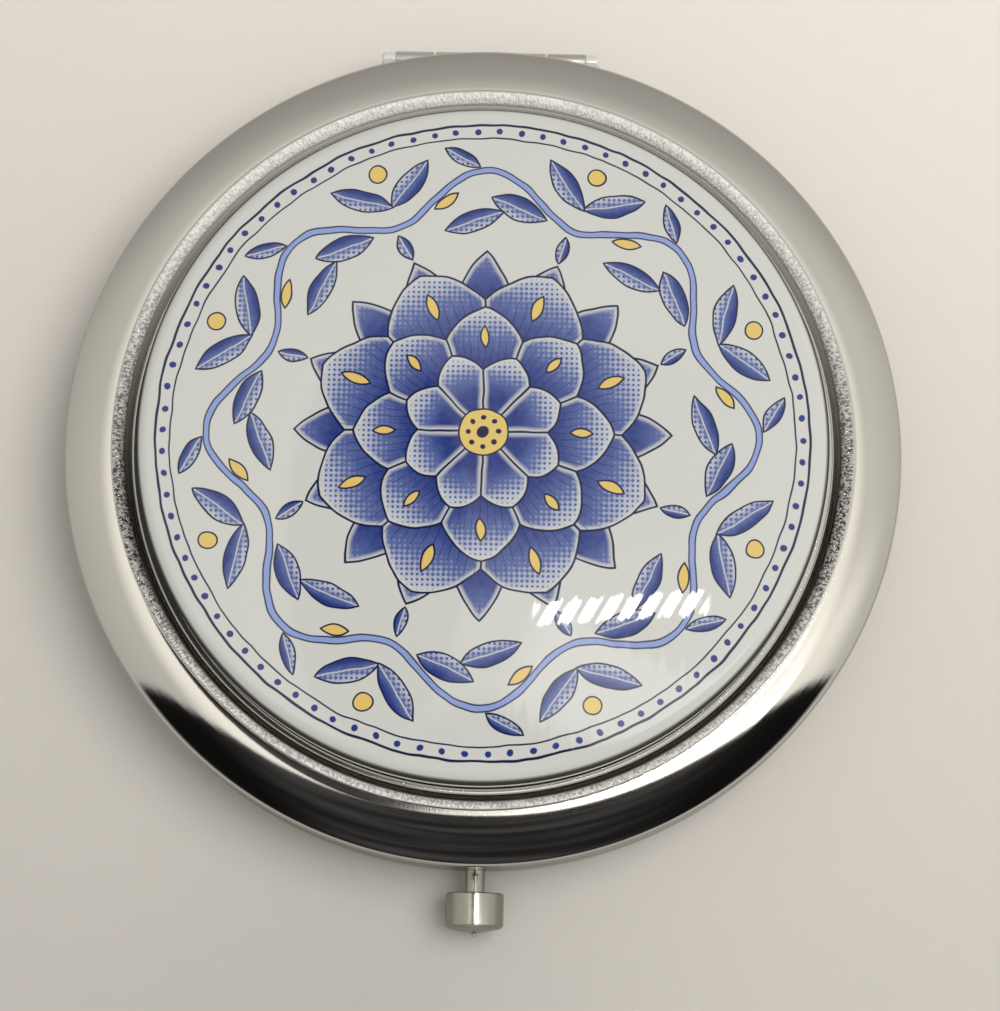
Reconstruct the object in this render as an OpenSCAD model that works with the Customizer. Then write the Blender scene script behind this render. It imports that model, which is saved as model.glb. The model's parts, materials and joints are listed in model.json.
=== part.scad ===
/* [Case] */
// Outer diameter of both shells at the parting line
case_d = 70; // [66:0.5:76]
// Thickness of the sheet of both shells
shell_t = 0.4; // [0.3:0.05:0.45]
// Width of the domed rim, from its crest to the outside of the case
rim_w = 4.4; // [4:0.1:4.8]
// Slope of the domed rim where it meets the bend to the skirt, in degrees
rim_slope = 34; // [31:1:44]
// Radius of the bend between the domed rim and the upright skirt
edge_r = 0.5; // [0.45:0.05:0.8]
// Gap between the closed shells at the parting line
parting_gap = 0.2; // [0.15:0.05:0.24]
// Radius of the tight bend along the inner edge of the rim
crest_r = 0.75; // [0.6:0.05:0.9]
// Depth of the lid's recess below the top of its rim
recess_depth = 1.1; // [1:0.05:1.3]
// Slope of the wall of the lid's recess, in degrees
wall_slope = 48; // [45:1:60]
// How far the flat bottom reaches below the rim of the base
foot_h = 0.4; // [0.3:0.05:0.6]
// Width of the stamped groove round the flat bottom
groove_w = 0.6; // [0.4:0.1:0.9]
// Depth of the stamped groove, from the rim of the base
groove_h = 0.3; // [0.2:0.05:0.4]
// Width of the slope from the groove to the flat bottom
foot_slope = 0.5; // [0.3:0.1:0.8]

/* [Decorated disc] */
// Radial gap between the disc and the foot of the recess wall
disc_margin = 0.62; // [0.4:0.02:0.9]
// Height of the disc from its back to the top of its shoulder
disc_edge_h = 3; // [2.6:0.1:3.4]
// Radius of the rounded shoulder of the disc
shoulder_r = 1.1; // [0.8:0.1:1.3]
// Rise of the crown of the disc above its shoulder
crown_h = 1.3; // [0.6:0.1:1.8]
// Thickness of the adhesive under the disc
adhesive_t = 0.2; // [0.1:0.05:0.3]
// How far the adhesive stops short of the edge of the disc
adhesive_inset = 0.8; // [0.4:0.1:2]

/* [Trays and mirrors] */
// Thickness of the sheet of both trays
tray_t = 0.33; // [0.29:0.02:0.37]
// Depth of the tray flanges below the parting plane
flange_drop = 0.12; // [0.12:0.01:0.16]
// Clearance between the flange of a tray and its shell
flange_clear = 0.1; // [0.08:0.01:0.14]
// How far the outside of the tray wells lies inside the tight bend of the rim
well_margin = 1.2; // [1.1:0.05:1.3]
// Radial gap between a mirror and the wall of its well
mirror_gap = 0.15; // [0.1:0.05:0.3]
// Thickness of both mirrors
mirror_t = 1.3; // [1.1:0.05:1.35]
// Chamfer along the front edge of both mirrors
mirror_bevel = 0.2; // [0.1:0.05:0.3]
// Depth of the mirrors below the back of the flanges
mirror_drop = 0.05; // [0.02:0.01:0.1]
// Hollow of the magnifying mirror at its centre
mirror_hollow = 0.6; // [0.3:0.05:0.7]
// Thickness of the pad behind the plain mirror
pad_t = 0.42; // [0.3:0.02:0.6]
// Least thickness of the pad behind the magnifying mirror, at its centre
hollow_pad_t = 0.3; // [0.2:0.05:0.4]
// How far the pads and the spacer stop short of the mirrors' edge
pad_inset = 0.6; // [0.4:0.1:2]

/* [Hinge] */
// How far the hinge axis lies outside the case diameter
hinge_out = 0.05; // [0:0.01:0.12]
// Thickness of the sheet of both leaves
leaf_t = 0.35; // [0.33:0.01:0.4]
// Radial play of the pin in the lid's knuckle
pin_play = 0.05; // [0.03:0.01:0.08]
// Radial play of the pin in the pressed knuckles and end caps
pin_press = 0.02; // [0.01:0.005:0.02]
// Length of the middle knuckle
mid_knuckle = 9.6; // [8.6:0.2:10]
// Length of each outer knuckle
end_knuckle = 3.35; // [3:0.1:3.6]
// Gap between neighbouring knuckles
knuckle_gap = 0.15; // [0.1:0.01:0.2]
// Length of each pressed pin end
cap_l = 1.15; // [0.9:0.05:1.3]
// How far the pin ends lie below the surface of the knuckles
cap_step = 0.08; // [0.05:0.01:0.12]
// How far the pin reaches into each end cap
pin_in_cap = 0.9; // [0.5:0.05:0.9]
// Clearance of the shells and trays round the hinge barrel
hinge_clear = 0.25; // [0.2:0.01:0.3]
// Depth of the leaves along the case, from the notch inwards
leaf_depth = 3; // [2.6:0.1:3.2]

/* [Rivets] */
// Radius of every rivet shank
rivet_r = 0.5; // [0.4:0.05:0.55]
// Radius of the rivet heads
rivet_head_r = 0.85; // [0.7:0.05:0.95]
// Height of the rivet heads
rivet_head_h = 0.15; // [0.1:0.01:0.2]
// Clearance of the rivets in their holes
rivet_play = 0.02; // [0.01:0.005:0.03]
// Distance of the lid leaf's rivets from the middle
lid_rivet_x = 2.8; // [2:0.1:3.4]
// Distance of the base leaf's rivets from the middle
base_rivet_x = 6.2; // [5:0.1:6.6]
// Distance of the hook's rivets from the middle
hook_rivet_x = 4.6; // [4.4:0.1:4.8]
// Distance of the bracket's rivets from the middle
bracket_rivet_x = 4.6; // [3.8:0.1:4.8]

/* [Push knob] */
// Depth of the stem's axis below the parting plane
stem_drop = 1.75; // [1.72:0.01:1.8]
// Diameter of the stem
stem_d = 1.6; // [1.4:0.05:1.65]
// Diameter of the tail of the stem, inside the spring
tail_d = 1; // [0.9:0.05:1.05]
// Length of stem that shows between the case and the knob
stem_show = 1.85; // [1.4:0.05:2.4]
// Diameter of the knob
knob_d = 4.8; // [4.2:0.1:4.8]
// Length of the cylindrical knob
knob_l = 3; // [2:0.05:4]
// Chamfer at the back edge of the knob
knob_back_chamfer = 0.1; // [0.05:0.05:0.2]
// Chamfer at the front edge of the knob
knob_chamfer = 0.25; // [0.1:0.05:0.4]
// Height of the shallow cone on the front of the knob
knob_cone = 0.25; // [0.2:0.05:0.6]
// Radius of the parting pip on the cone
pip_r = 0.2; // [0.1:0.02:0.3]
// Height of the parting pip
pip_h = 0.25; // [0.1:0.05:0.4]
// Travel of the knob when it is pressed
travel = 1; // [0.8:0.05:1]

/* [Catch] */
// Thickness of the sheet of the hook, catch plate and bracket
latch_t = 0.4; // [0.3:0.02:0.4]
// Clearance between the hook's legs and the front wall of the base
hook_clear = 0.8; // [0.6:0.02:0.9]
// Distance of the inner edges of the hook's legs from the middle
leg_in = 1.4; // [1.3:0.05:1.5]
// Width of each leg of the hook
leg_w = 1.2; // [1:0.1:1.4]
// Depth of the hook's noses below the parting plane
hook_reach = 2.3; // [2.2:0.02:2.4]
// Length of the noses of the hook
nose_l = 0.5; // [0.4:0.02:0.5]
// Clearance between the noses and the tongues of the catch
catch_clear = 0.1; // [0.08:0.01:0.12]
// Clearance round the stem and its tail where they slide
stem_play = 0.08; // [0.05:0.01:0.1]
// Clearance between the hook and the edges of its window
window_clear = 0.2; // [0.15:0.01:0.24]
// Width of the bracket's walls below the holes for the stem
bracket_lip = 0.2; // [0.15:0.01:0.22]
// Distance of the outer ends of the hook's foot and the bracket from the middle
foot_x = 6; // [5.8:0.1:6.2]
// Half width of the walls of the bracket
wall_x = 1.15; // [1.1:0.01:1.2]
// Clearance between the bracket's rear wall and the well of the tray
bracket_clear = 0.35; // [0.3:0.01:0.4]
// Wire diameter of the spring
wire_d = 0.25; // [0.2:0.01:0.26]
// Mean diameter of the spring
spring_d = 1.5; // [1.45:0.01:1.55]
// Clear space between neighbouring turns of the spring
spring_space = 0.45; // [0.42:0.01:0.6]
// Clearance at each end of the spring
spring_end = 0.02; // [0.01:0.01:0.04]

/* [Hidden] */
$fn = 96;
// Overrun of every cut
cut = 0.5;
case_r = case_d / 2;

// Distances from the parting plane, the same for lid and base up to the mirrors' backs
flange_back = flange_drop + tray_t;
mirror_z = flange_back + mirror_drop;
mirror_back = mirror_z + mirror_t;
lid_floor = mirror_back + pad_t;
pan_back = lid_floor + tray_t;
pan_top = pan_back + shell_t;
rim_top = pan_top + recess_depth;
base_well = mirror_back + mirror_hollow + hollow_pad_t;
rest_h = rim_top + foot_h;
floor_back = rest_h - shell_t;

// Radius of the crest of the rim, radius of the rim's arc and height of the skirt under it
rim_mid = case_r - rim_w;
rim_r = (rim_w - edge_r) / sin(rim_slope) + edge_r;
skirt_z = rim_top - rim_r + (rim_r - edge_r) * cos(rim_slope);

// Radius of the inner side of the tight bend, and of the foot of the recess wall that slopes up to it
recess_r = rim_mid - crest_r;
foot_r = rim_mid - crest_r * sin(wall_slope)
    - (recess_depth - crest_r * (1 - cos(wall_slope))) / tan(wall_slope);
disc_r = foot_r - disc_margin;
disc_z = pan_top + adhesive_t;
dome_r = disc_r - shoulder_r;
dome_z = disc_z + disc_edge_h;
arc_steps = 12;

// Inner radius of a shell at a height z from the parting plane
function shell_in(z) =
    min(case_r - shell_t, rim_mid + sqrt(pow(rim_r - shell_t, 2) - pow(z - rim_top + rim_r, 2)));
flange_r = shell_in(flange_back) - flange_clear;
well_out = recess_r - well_margin;
well_in = well_out - tray_t;
mirror_r = well_in - mirror_gap;
pad_r = mirror_r - pad_inset;

barrel_r = flange_back + leaf_t;
bore_r = flange_back;
pin_r = bore_r - pin_play;
hinge_y = case_r + hinge_out;
notch_y = hinge_y - barrel_r - hinge_clear;
notch_z = barrel_r + hinge_clear;
outer_in = mid_knuckle / 2 + knuckle_gap;
outer_out = outer_in + end_knuckle;
hinge_half = outer_out + cap_l;
leaf_y = notch_y - leaf_depth;
slot_x = outer_out + hinge_clear;
slot_y = sqrt(pow(shell_in(flange_back), 2) - pow(slot_x, 2)) - hinge_clear;
leaf_rivet_y = notch_y - leaf_depth / 2;

stem_r = stem_d / 2;
tail_r = tail_d / 2;
knob_r = knob_d / 2;
knob_back = case_r + stem_show;
// Distances of the catch's faces from the middle of the case, from front to back
leg_front = sqrt(pow(shell_in(hook_reach), 2) - pow(leg_in + leg_w, 2)) - hook_clear;
leg_back = leg_front - latch_t;
nose_back = leg_back - nose_l;
tongue_front = leg_back - catch_clear;
guide_back = nose_back - catch_clear;
guide_front = guide_back + latch_t;
catch_front = guide_back - catch_clear;
catch_back = catch_front - latch_t;
rear_back = well_out + bracket_clear;
rear_front = rear_back + latch_t;
tail_end = well_out + travel + catch_clear;
leg_out = leg_in + leg_w;
tongue_bottom = hook_reach - latch_t - catch_clear;
tongue_top = tongue_bottom - latch_t;
bracket_back = flange_back + latch_t;
catch_top = bracket_back + catch_clear;
catch_bottom = stem_drop + stem_r + catch_clear;
window_front = leg_front + window_clear;
window_back = nose_back - window_clear;
hook_foot = rear_front;
latch_rivet_y = (window_back + hook_foot) / 2;
wire_r = wire_d / 2;
spring_l = catch_back - rear_front - 2 * spring_end - wire_d;
spring_pitch = wire_d + spring_space;
spring_turns = spring_l / spring_pitch;
turn_rings = 8;
wire_sides = 6;

chrome = "#c9c9c6";
turned = "#a9a8a2";
mirror_silver = "#dfe6ea";

// The parting plane, from which all heights below are counted, above the face that the case lies on
module at_parting() {
    translate([0, 0, rest_h]) children();
}

// A ring of rectangular section between two radii and two heights
module ring(r_in, r_out, z_low, z_high) {
    translate([0, 0, z_low]) difference() {
        cylinder(r = r_out, h = z_high - z_low);
        translate([0, 0, -cut]) cylinder(r = r_in, h = z_high - z_low + 2 * cut);
    }
}

// A block between two corners
module block(low, high) {
    translate(low) cube(high - low);
}

function reversed(points) = [for (i = [len(points) - 1 : -1 : 0]) points[i]];

// Points of an arc in the section of a shell, in steps up to an angle from the upright
function section_arc(x, z, r, from, to) = [for (i = [1 : arc_steps])
    let (a = from + (to - from) * i / arc_steps) [x + r * sin(a), z + r * cos(a)]];

// Line of the rim from its crest to the parting gap, some way inside its outer face
function rim_line(inside) = concat(
    [[rim_mid, rim_top - inside]],
    section_arc(rim_mid, rim_top - rim_r, rim_r - inside, 0, rim_slope),
    section_arc(case_r - edge_r, skirt_z, edge_r - inside, rim_slope, 90),
    [[case_r - inside, parting_gap / 2]]
);

// Line of the lid's recess from its middle to the rim's crest, some way inside its outer face
function recess_line(inside) = concat(
    [[0, pan_top - inside], [foot_r + inside * tan(wall_slope / 2), pan_top - inside]],
    [for (i = [0 : arc_steps - 1]) let (a = wall_slope * (1 - i / arc_steps), r = crest_r - inside)
        [rim_mid - r * sin(a), rim_top - crest_r + r * cos(a)]]
);

// The slot in the rim of the base that its leaf passes through
module leaf_slot() {
    block([-slot_x, slot_y, 0], [slot_x, case_r + cut, barrel_r + parting_gap / 2]);
}

// The space that the hinge barrel takes out of shells and trays
module hinge_notch() {
    half = hinge_half + hinge_clear;
    block([-half, notch_y, -notch_z], [half, case_r + cut, notch_z]);
}

// Everything on the stem's axis, with local Z pointing to the front
module on_stem_axis() {
    translate([0, 0, -stem_drop]) rotate([90, 0, 0]) children();
}

// A pair of places at both sides of the middle
module pair(x, y) {
    for (side = [-1, 1]) translate([side * x, y, 0]) children();
}

// Holes for a pair of rivets, with a counterbore in the flange's face
module rivet_holes(x, y) {
    pair(x, y) {
        translate([0, 0, -cut]) cylinder(r = rivet_r + rivet_play, h = mirror_back + cut);
        cylinder(r = rivet_head_r + rivet_play, h = flange_drop + rivet_head_h);
    }
}

// A pair of rivets from the flange's face to a height, with a head on both ends
module rivet_pair(x, y, far) {
    pair(x, y) {
        translate([0, 0, flange_drop]) cylinder(r = rivet_head_r, h = rivet_head_h);
        translate([0, 0, flange_drop]) cylinder(r = rivet_r, h = far - flange_drop + rivet_head_h);
        translate([0, 0, far]) cylinder(r = rivet_head_r, h = rivet_head_h);
    }
}

// Stamped tray: flange, well wall and floor at a depth
module tray(well_floor) {
    ring(well_in, flange_r, flange_drop, flange_back);
    ring(well_in, well_out, flange_drop, well_floor);
    translate([0, 0, well_floor]) cylinder(r = well_out, h = tray_t);
}

// Window in a flange for the legs of the hook, back to a distance from the middle
module hook_window(back) {
    half = leg_out + window_clear;
    block([-half, -window_front, 0], [half, -back, flange_back + cut]);
}

// The upper half turned over, for the pieces of the base
module below() {
    mirror([0, 0, 1]) children();
}

module lid_shell() {
    color(chrome) at_parting() difference() {
        rotate_extrude() polygon(concat(recess_line(shell_t), rim_line(shell_t),
            reversed(concat(recess_line(0), rim_line(0)))));
        hinge_notch();
    }
}

// Points of a circular arc of the dome, from its edge to its crown
function dome_points(r, z, rise) = let (big = (r * r + rise * rise) / (2 * rise))
    [for (i = [0 : arc_steps]) let (x = r * (1 - i / arc_steps))
        [x, z + rise - big + sqrt(big * big - x * x)]];

module lid_disc() {
    shoulder = [for (i = [0 : arc_steps - 1]) let (a = 90 * i / arc_steps)
        [dome_r + shoulder_r * cos(a), dome_z - shoulder_r + shoulder_r * sin(a)]];
    color("white") at_parting() rotate_extrude()
        polygon(concat([[0, disc_z], [disc_r, disc_z]], shoulder, dome_points(dome_r, dome_z, crown_h)));
}

module disc_adhesive() {
    color("#d8d2b8") at_parting() translate([0, 0, pan_top])
        cylinder(r = disc_r - adhesive_inset, h = adhesive_t);
}

module lid_tray() {
    color(chrome) at_parting() difference() {
        tray(lid_floor);
        hinge_notch();
        rivet_holes(lid_rivet_x, leaf_rivet_y);
        rivet_holes(hook_rivet_x, -latch_rivet_y);
        hook_window(leg_back - window_clear);
    }
}

module lid_mirror() {
    color(mirror_silver) at_parting() rotate_extrude() polygon([
        [0, mirror_z], [mirror_r - mirror_bevel, mirror_z], [mirror_r, mirror_z + mirror_bevel],
        [mirror_r, mirror_back], [0, mirror_back]
    ]);
}

module lid_mirror_pad() {
    color("#3a3a3a") at_parting() translate([0, 0, mirror_back]) cylinder(r = pad_r, h = pad_t);
}

// One knuckle of the hinge between two places, with its bore for the pin
module knuckle(x_low, x_high, bore) {
    translate([x_low, hinge_y, 0]) rotate([0, 90, 0]) difference() {
        cylinder(r = barrel_r, h = x_high - x_low);
        translate([0, 0, -cut]) cylinder(r = bore, h = x_high - x_low + 2 * cut);
    }
}

// Flat part of a leaf between two places across the case
module leaf_plate(x_low, x_high, y_high) {
    block([x_low, leaf_y, bore_r], [x_high, y_high, barrel_r]);
}

module lid_hinge_leaf() {
    half = mid_knuckle / 2;
    color(chrome) at_parting() {
        knuckle(-half, half, bore_r);
        difference() {
            leaf_plate(-half, half, hinge_y);
            pair(lid_rivet_x, leaf_rivet_y) cylinder(r = rivet_r + rivet_play, h = barrel_r + cut);
        }
    }
}

module lid_leaf_rivets() {
    color(turned) at_parting() rivet_pair(lid_rivet_x, leaf_rivet_y, barrel_r);
}

// One leg of the hook with its nose, in the plane across the case
module hook_leg(x) {
    translate([x, 0, 0]) rotate([90, 0, 90]) linear_extrude(leg_w) polygon([
        [-leg_front, flange_back + latch_t], [-leg_front, -hook_reach], [-leg_back, -hook_reach],
        [-nose_back, -hook_reach + latch_t / 2], [-nose_back, -hook_reach + latch_t],
        [-leg_back, -hook_reach + latch_t], [-leg_back, flange_back + latch_t]
    ]);
}

module lid_hook() {
    color(turned) at_parting() {
        hook_leg(leg_in);
        hook_leg(-leg_out);
        difference() {
            block([-foot_x, -leg_back, flange_back], [foot_x, -hook_foot, flange_back + latch_t]);
            pair(hook_rivet_x, -latch_rivet_y)
                cylinder(r = rivet_r + rivet_play, h = flange_back + latch_t + cut);
        }
        block([-leg_out, -leg_front, flange_back], [leg_out, -leg_back, flange_back + latch_t]);
    }
}

module hook_rivets() {
    color(turned) at_parting() rivet_pair(hook_rivet_x, -latch_rivet_y, flange_back + latch_t);
}

// Line of the bottom from its middle to the rim section, some way inside its outer face
function bottom_line(inside) = [
    [0, rest_h - inside], [recess_r - groove_w - foot_slope, rest_h - inside],
    [recess_r - groove_w, rim_top - groove_h - inside], [recess_r, rim_top - groove_h - inside],
    [rim_mid, rim_top - inside]
];

module base_shell() {
    color(chrome) at_parting() difference() {
        below() rotate_extrude() {
            polygon(concat(rim_line(shell_t), reversed(rim_line(0))));
            polygon(concat(bottom_line(shell_t), reversed(bottom_line(0))));
        }
        hinge_notch();
        below() leaf_slot();
        on_stem_axis() cylinder(r = stem_r + stem_play, h = case_r + cut);
    }
}

module base_tray() {
    color(chrome) at_parting() difference() {
        below() tray(base_well);
        hinge_notch();
        below() {
            rivet_holes(base_rivet_x, leaf_rivet_y);
            rivet_holes(bracket_rivet_x, -latch_rivet_y);
            hook_window(window_back);
        }
    }
}

module base_mirror() {
    back = dome_points(mirror_r, mirror_back, mirror_hollow);
    face = dome_points(mirror_r - mirror_bevel, mirror_z, mirror_hollow);
    color(mirror_silver) at_parting() below() rotate_extrude()
        polygon(concat(back, reversed(face), [[mirror_r, mirror_z + mirror_bevel]]));
}

module base_mirror_pad() {
    back = [for (p = dome_points(mirror_r, mirror_back, mirror_hollow)) if (p[0] < pad_r) p];
    color("#3a3a3a") at_parting() below() rotate_extrude()
        polygon(concat([[0, base_well], [back[0][0], base_well]], back));
}

module base_spacer() {
    color("#b08d5c") at_parting() below() translate([0, 0, base_well + tray_t])
        cylinder(r = recess_r - groove_w - foot_slope - pad_inset, h = floor_back - base_well - tray_t);
}

module base_hinge_leaf() {
    color(chrome) at_parting() {
        knuckle(outer_in, outer_out, pin_r + pin_press);
        knuckle(-outer_out, -outer_in, pin_r + pin_press);
        below() difference() {
            union() {
                leaf_plate(-outer_out, outer_out, notch_y);
                leaf_plate(-outer_out, -outer_in, hinge_y);
                leaf_plate(outer_in, outer_out, hinge_y);
            }
            pair(base_rivet_x, leaf_rivet_y) cylinder(r = rivet_r + rivet_play, h = barrel_r + cut);
        }
    }
}

module base_leaf_rivets() {
    color(turned) at_parting() below() rivet_pair(base_rivet_x, leaf_rivet_y, barrel_r);
}

module hinge_pin() {
    half = outer_out + pin_in_cap;
    color(turned) at_parting() translate([-half, hinge_y, 0]) rotate([0, 90, 0])
        cylinder(r = pin_r, h = 2 * half);
}

module pin_end_caps() {
    color("white") at_parting() for (turn = [90, -90]) translate([0, hinge_y, 0]) rotate([0, turn, 0])
        translate([0, 0, outer_out]) difference() {
            cylinder(r = barrel_r - cap_step, h = cap_l);
            translate([0, 0, -cut]) cylinder(r = pin_r + pin_press, h = pin_in_cap + pin_press + cut);
        }
}

module latch_bracket() {
    low = stem_drop + stem_r + stem_play + bracket_lip;
    edge = window_clear - window_back;
    color(turned) at_parting() difference() {
        below() {
            block([-foot_x, edge, flange_back], [foot_x, -rear_back, bracket_back]);
            block([-wall_x, -guide_front, flange_back], [wall_x, edge, bracket_back]);
            block([-wall_x, -guide_front, flange_back], [wall_x, -guide_back, low]);
            block([-wall_x, -rear_front, flange_back], [wall_x, -rear_back, low]);
        }
        on_stem_axis() {
            translate([0, 0, guide_back - cut]) cylinder(r = stem_r + stem_play, h = latch_t + 2 * cut);
            translate([0, 0, rear_back - cut]) cylinder(r = tail_r + stem_play, h = latch_t + 2 * cut);
        }
        below() pair(bracket_rivet_x, -latch_rivet_y)
            cylinder(r = rivet_r + rivet_play, h = bracket_back + cut);
    }
}

module bracket_rivets() {
    color(turned) at_parting() below() rivet_pair(bracket_rivet_x, -latch_rivet_y, bracket_back);
}

module push_knob() {
    head_end = knob_back + knob_l;
    tip = head_end + knob_cone;
    color(turned) at_parting() on_stem_axis() rotate_extrude() polygon([
        [0, tail_end], [tail_r, tail_end], [tail_r, catch_front], [stem_r, catch_front],
        [stem_r, knob_back], [knob_r - knob_back_chamfer, knob_back],
        [knob_r, knob_back + knob_back_chamfer],
        [knob_r, head_end - knob_chamfer], [knob_r - knob_chamfer, head_end], [pip_r, tip],
        [pip_r, tip + pip_h], [0, tip + pip_h]
    ]);
}

module catch_plate() {
    color("#8d8a80") at_parting() {
        difference() {
            block([-leg_out, -catch_front, -catch_bottom], [leg_out, -catch_back, -catch_top]);
            on_stem_axis() cylinder(r = tail_r + pin_press, h = case_r);
        }
        for (x = [leg_in, -leg_out])
            block([x, -tongue_front, -tongue_bottom], [x + leg_w, -catch_front, -tongue_top]);
    }
}

// Centre line of the spring, with local Z along the stem
spring_steps = ceil(spring_turns * turn_rings);
function spring_point(i) = let (
    a = 360 * spring_turns * i / spring_steps,
    along = rear_front + spring_end + wire_r + spring_l * i / spring_steps)
    [spring_d / 2 * cos(a), spring_d / 2 * sin(a), along];
spring_line = [for (i = [0 : spring_steps]) spring_point(i)];
spring_gap = min([for (i = [0 : spring_steps]) for (j = [i + turn_rings / 2 : spring_steps])
    norm(spring_line[i] - spring_line[j])]) - wire_d;
echo(spring_turns = spring_turns, spring_least_gap = spring_gap);

// A closed tube of a wire's radius along a line of points that turns round local Z
module wire_tube(line) {
    last = len(line) - 1;
    rings = [for (i = [0 : last]) let (
        p = line[i], a = atan2(p[1], p[0]), rise = atan(spring_pitch / (PI * spring_d)),
        out = [cos(a), sin(a), 0], up = [sin(a) * sin(rise), -cos(a) * sin(rise), cos(rise)])
        for (k = [0 : wire_sides - 1]) let (b = 360 * k / wire_sides)
            p + wire_r * (cos(b) * out + sin(b) * up)];
    sides = [for (i = [0 : last - 1]) for (k = [0 : wire_sides - 1]) let (
        m = (k + 1) % wire_sides, a = i * wire_sides + k, b = i * wire_sides + m,
        c = a + wire_sides, d = b + wire_sides)
        each [[a, b, d], [a, d, c]]];
    start = [for (k = [1 : wire_sides - 2]) [0, k + 1, k]];
    finish = [for (k = [1 : wire_sides - 2]) let (a = last * wire_sides) [a, a + k, a + k + 1]];
    polyhedron(points = rings, faces = concat(sides, start, finish));
}

module latch_spring() {
    color("#9a9a98") at_parting() on_stem_axis() wire_tube(spring_line);
}

lid_shell();
lid_disc();
disc_adhesive();
lid_tray();
lid_mirror();
lid_mirror_pad();
lid_hinge_leaf();
lid_leaf_rivets();
lid_hook();
hook_rivets();
base_shell();
base_tray();
base_mirror();
base_mirror_pad();
base_spacer();
base_hinge_leaf();
base_leaf_rivets();
hinge_pin();
pin_end_caps();
latch_bracket();
bracket_rivets();
push_knob();
catch_plate();
latch_spring();
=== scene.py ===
"""A round pocket mirror, closed: the looks of its pieces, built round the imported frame."""

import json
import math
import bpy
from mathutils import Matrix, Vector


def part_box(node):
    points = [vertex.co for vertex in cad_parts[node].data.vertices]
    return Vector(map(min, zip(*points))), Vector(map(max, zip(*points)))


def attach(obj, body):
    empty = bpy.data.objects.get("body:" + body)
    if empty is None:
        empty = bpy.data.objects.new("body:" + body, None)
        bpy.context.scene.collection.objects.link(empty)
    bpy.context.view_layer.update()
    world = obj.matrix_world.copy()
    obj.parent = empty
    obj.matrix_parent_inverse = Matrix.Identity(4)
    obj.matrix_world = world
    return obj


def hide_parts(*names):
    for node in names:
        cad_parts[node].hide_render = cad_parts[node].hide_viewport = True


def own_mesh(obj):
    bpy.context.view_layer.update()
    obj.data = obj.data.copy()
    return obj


bl_info = {
    "name": "Compact mirror",
    "version": (1, 0, 0),
    "blender": (4, 5, 0),
    "location": "View3D > Sidebar > Compact mirror",
    "description": "Dresses the packed frame of a round pocket mirror with finished pieces",
    "category": "Add Mesh",
}

import bpy
import numpy as np
from bpy.props import FloatProperty, FloatVectorProperty, IntProperty, PointerProperty
from mathutils import Matrix, Vector

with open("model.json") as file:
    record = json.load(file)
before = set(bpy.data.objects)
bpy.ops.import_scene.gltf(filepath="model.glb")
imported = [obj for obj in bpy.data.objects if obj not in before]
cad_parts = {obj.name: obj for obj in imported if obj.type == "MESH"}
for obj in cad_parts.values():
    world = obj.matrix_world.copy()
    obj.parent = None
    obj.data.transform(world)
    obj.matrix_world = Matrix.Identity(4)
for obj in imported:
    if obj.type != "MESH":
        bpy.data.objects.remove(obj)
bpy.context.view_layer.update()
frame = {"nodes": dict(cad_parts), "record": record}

MM = 0.001
TURN = 2 * math.pi
JOINTS = {joint["name"]: joint for joint in frame["record"]["behaviour"]["joints"]}

LID_LOW, LID_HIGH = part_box("lid_shell")
BASE_LOW, BASE_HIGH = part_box("base_shell")
DISC_LOW, DISC_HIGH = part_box("lid_disc")
TRAY_LOW, TRAY_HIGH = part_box("lid_tray")
BASE_TRAY_LOW, BASE_TRAY_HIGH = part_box("base_tray")
GLASS_LOW, GLASS_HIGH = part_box("lid_mirror")
HOLLOW_LOW, HOLLOW_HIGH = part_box("base_mirror")
LID_LEAF_LOW, LID_LEAF_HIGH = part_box("lid_hinge_leaf")
BASE_LEAF_LOW, BASE_LEAF_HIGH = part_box("base_hinge_leaf")
CAPS_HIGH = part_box("pin_end_caps")[1]
PIN_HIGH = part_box("hinge_pin")[1]
KNOB_LOW, KNOB_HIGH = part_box("push_knob")
SPRING_LOW, SPRING_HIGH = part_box("latch_spring")
PARTING = (LID_LOW.z + BASE_HIGH.z) / 2
HINGE_AXIS = Vector(JOINTS["lid_hinge"]["pos_m"])
STEM_AXIS = Vector(((KNOB_LOW.x + KNOB_HIGH.x) / 2, 0, (KNOB_LOW.z + KNOB_HIGH.z) / 2))

# How far a cutter reaches past what it cuts, and the angles from which edges stay crisp or are eased
PAST_SHEET = 1 * MM
CRISP_ANGLE = math.radians(32)
EASED_ANGLE = math.radians(40)


def from_screen(red, green, blue):
    """A screen colour of 0 to 255 as the linear values that a shader takes."""
    share = np.array([red, green, blue]) / 255
    return tuple(np.where(share <= 0.04045, share / 12.92, ((share + 0.055) / 1.055) ** 2.4))


def length(name, description, default):
    """A length that a user can change, in metres."""
    return FloatProperty(name=name, description=description, default=default, min=0, unit="LENGTH",
                         precision=6)


def slope(name, description, degrees):
    """A slope that a user can change, given in degrees."""
    return FloatProperty(name=name, description=description, default=math.radians(degrees), subtype="ANGLE",
                         unit="ROTATION")


def colour(name, description, red, green, blue):
    """A colour that a user can change, given as it shows on a screen."""
    return FloatVectorProperty(name=name, description=description, size=3, subtype="COLOR", min=0, max=1,
                               default=from_screen(red, green, blue))


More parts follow.
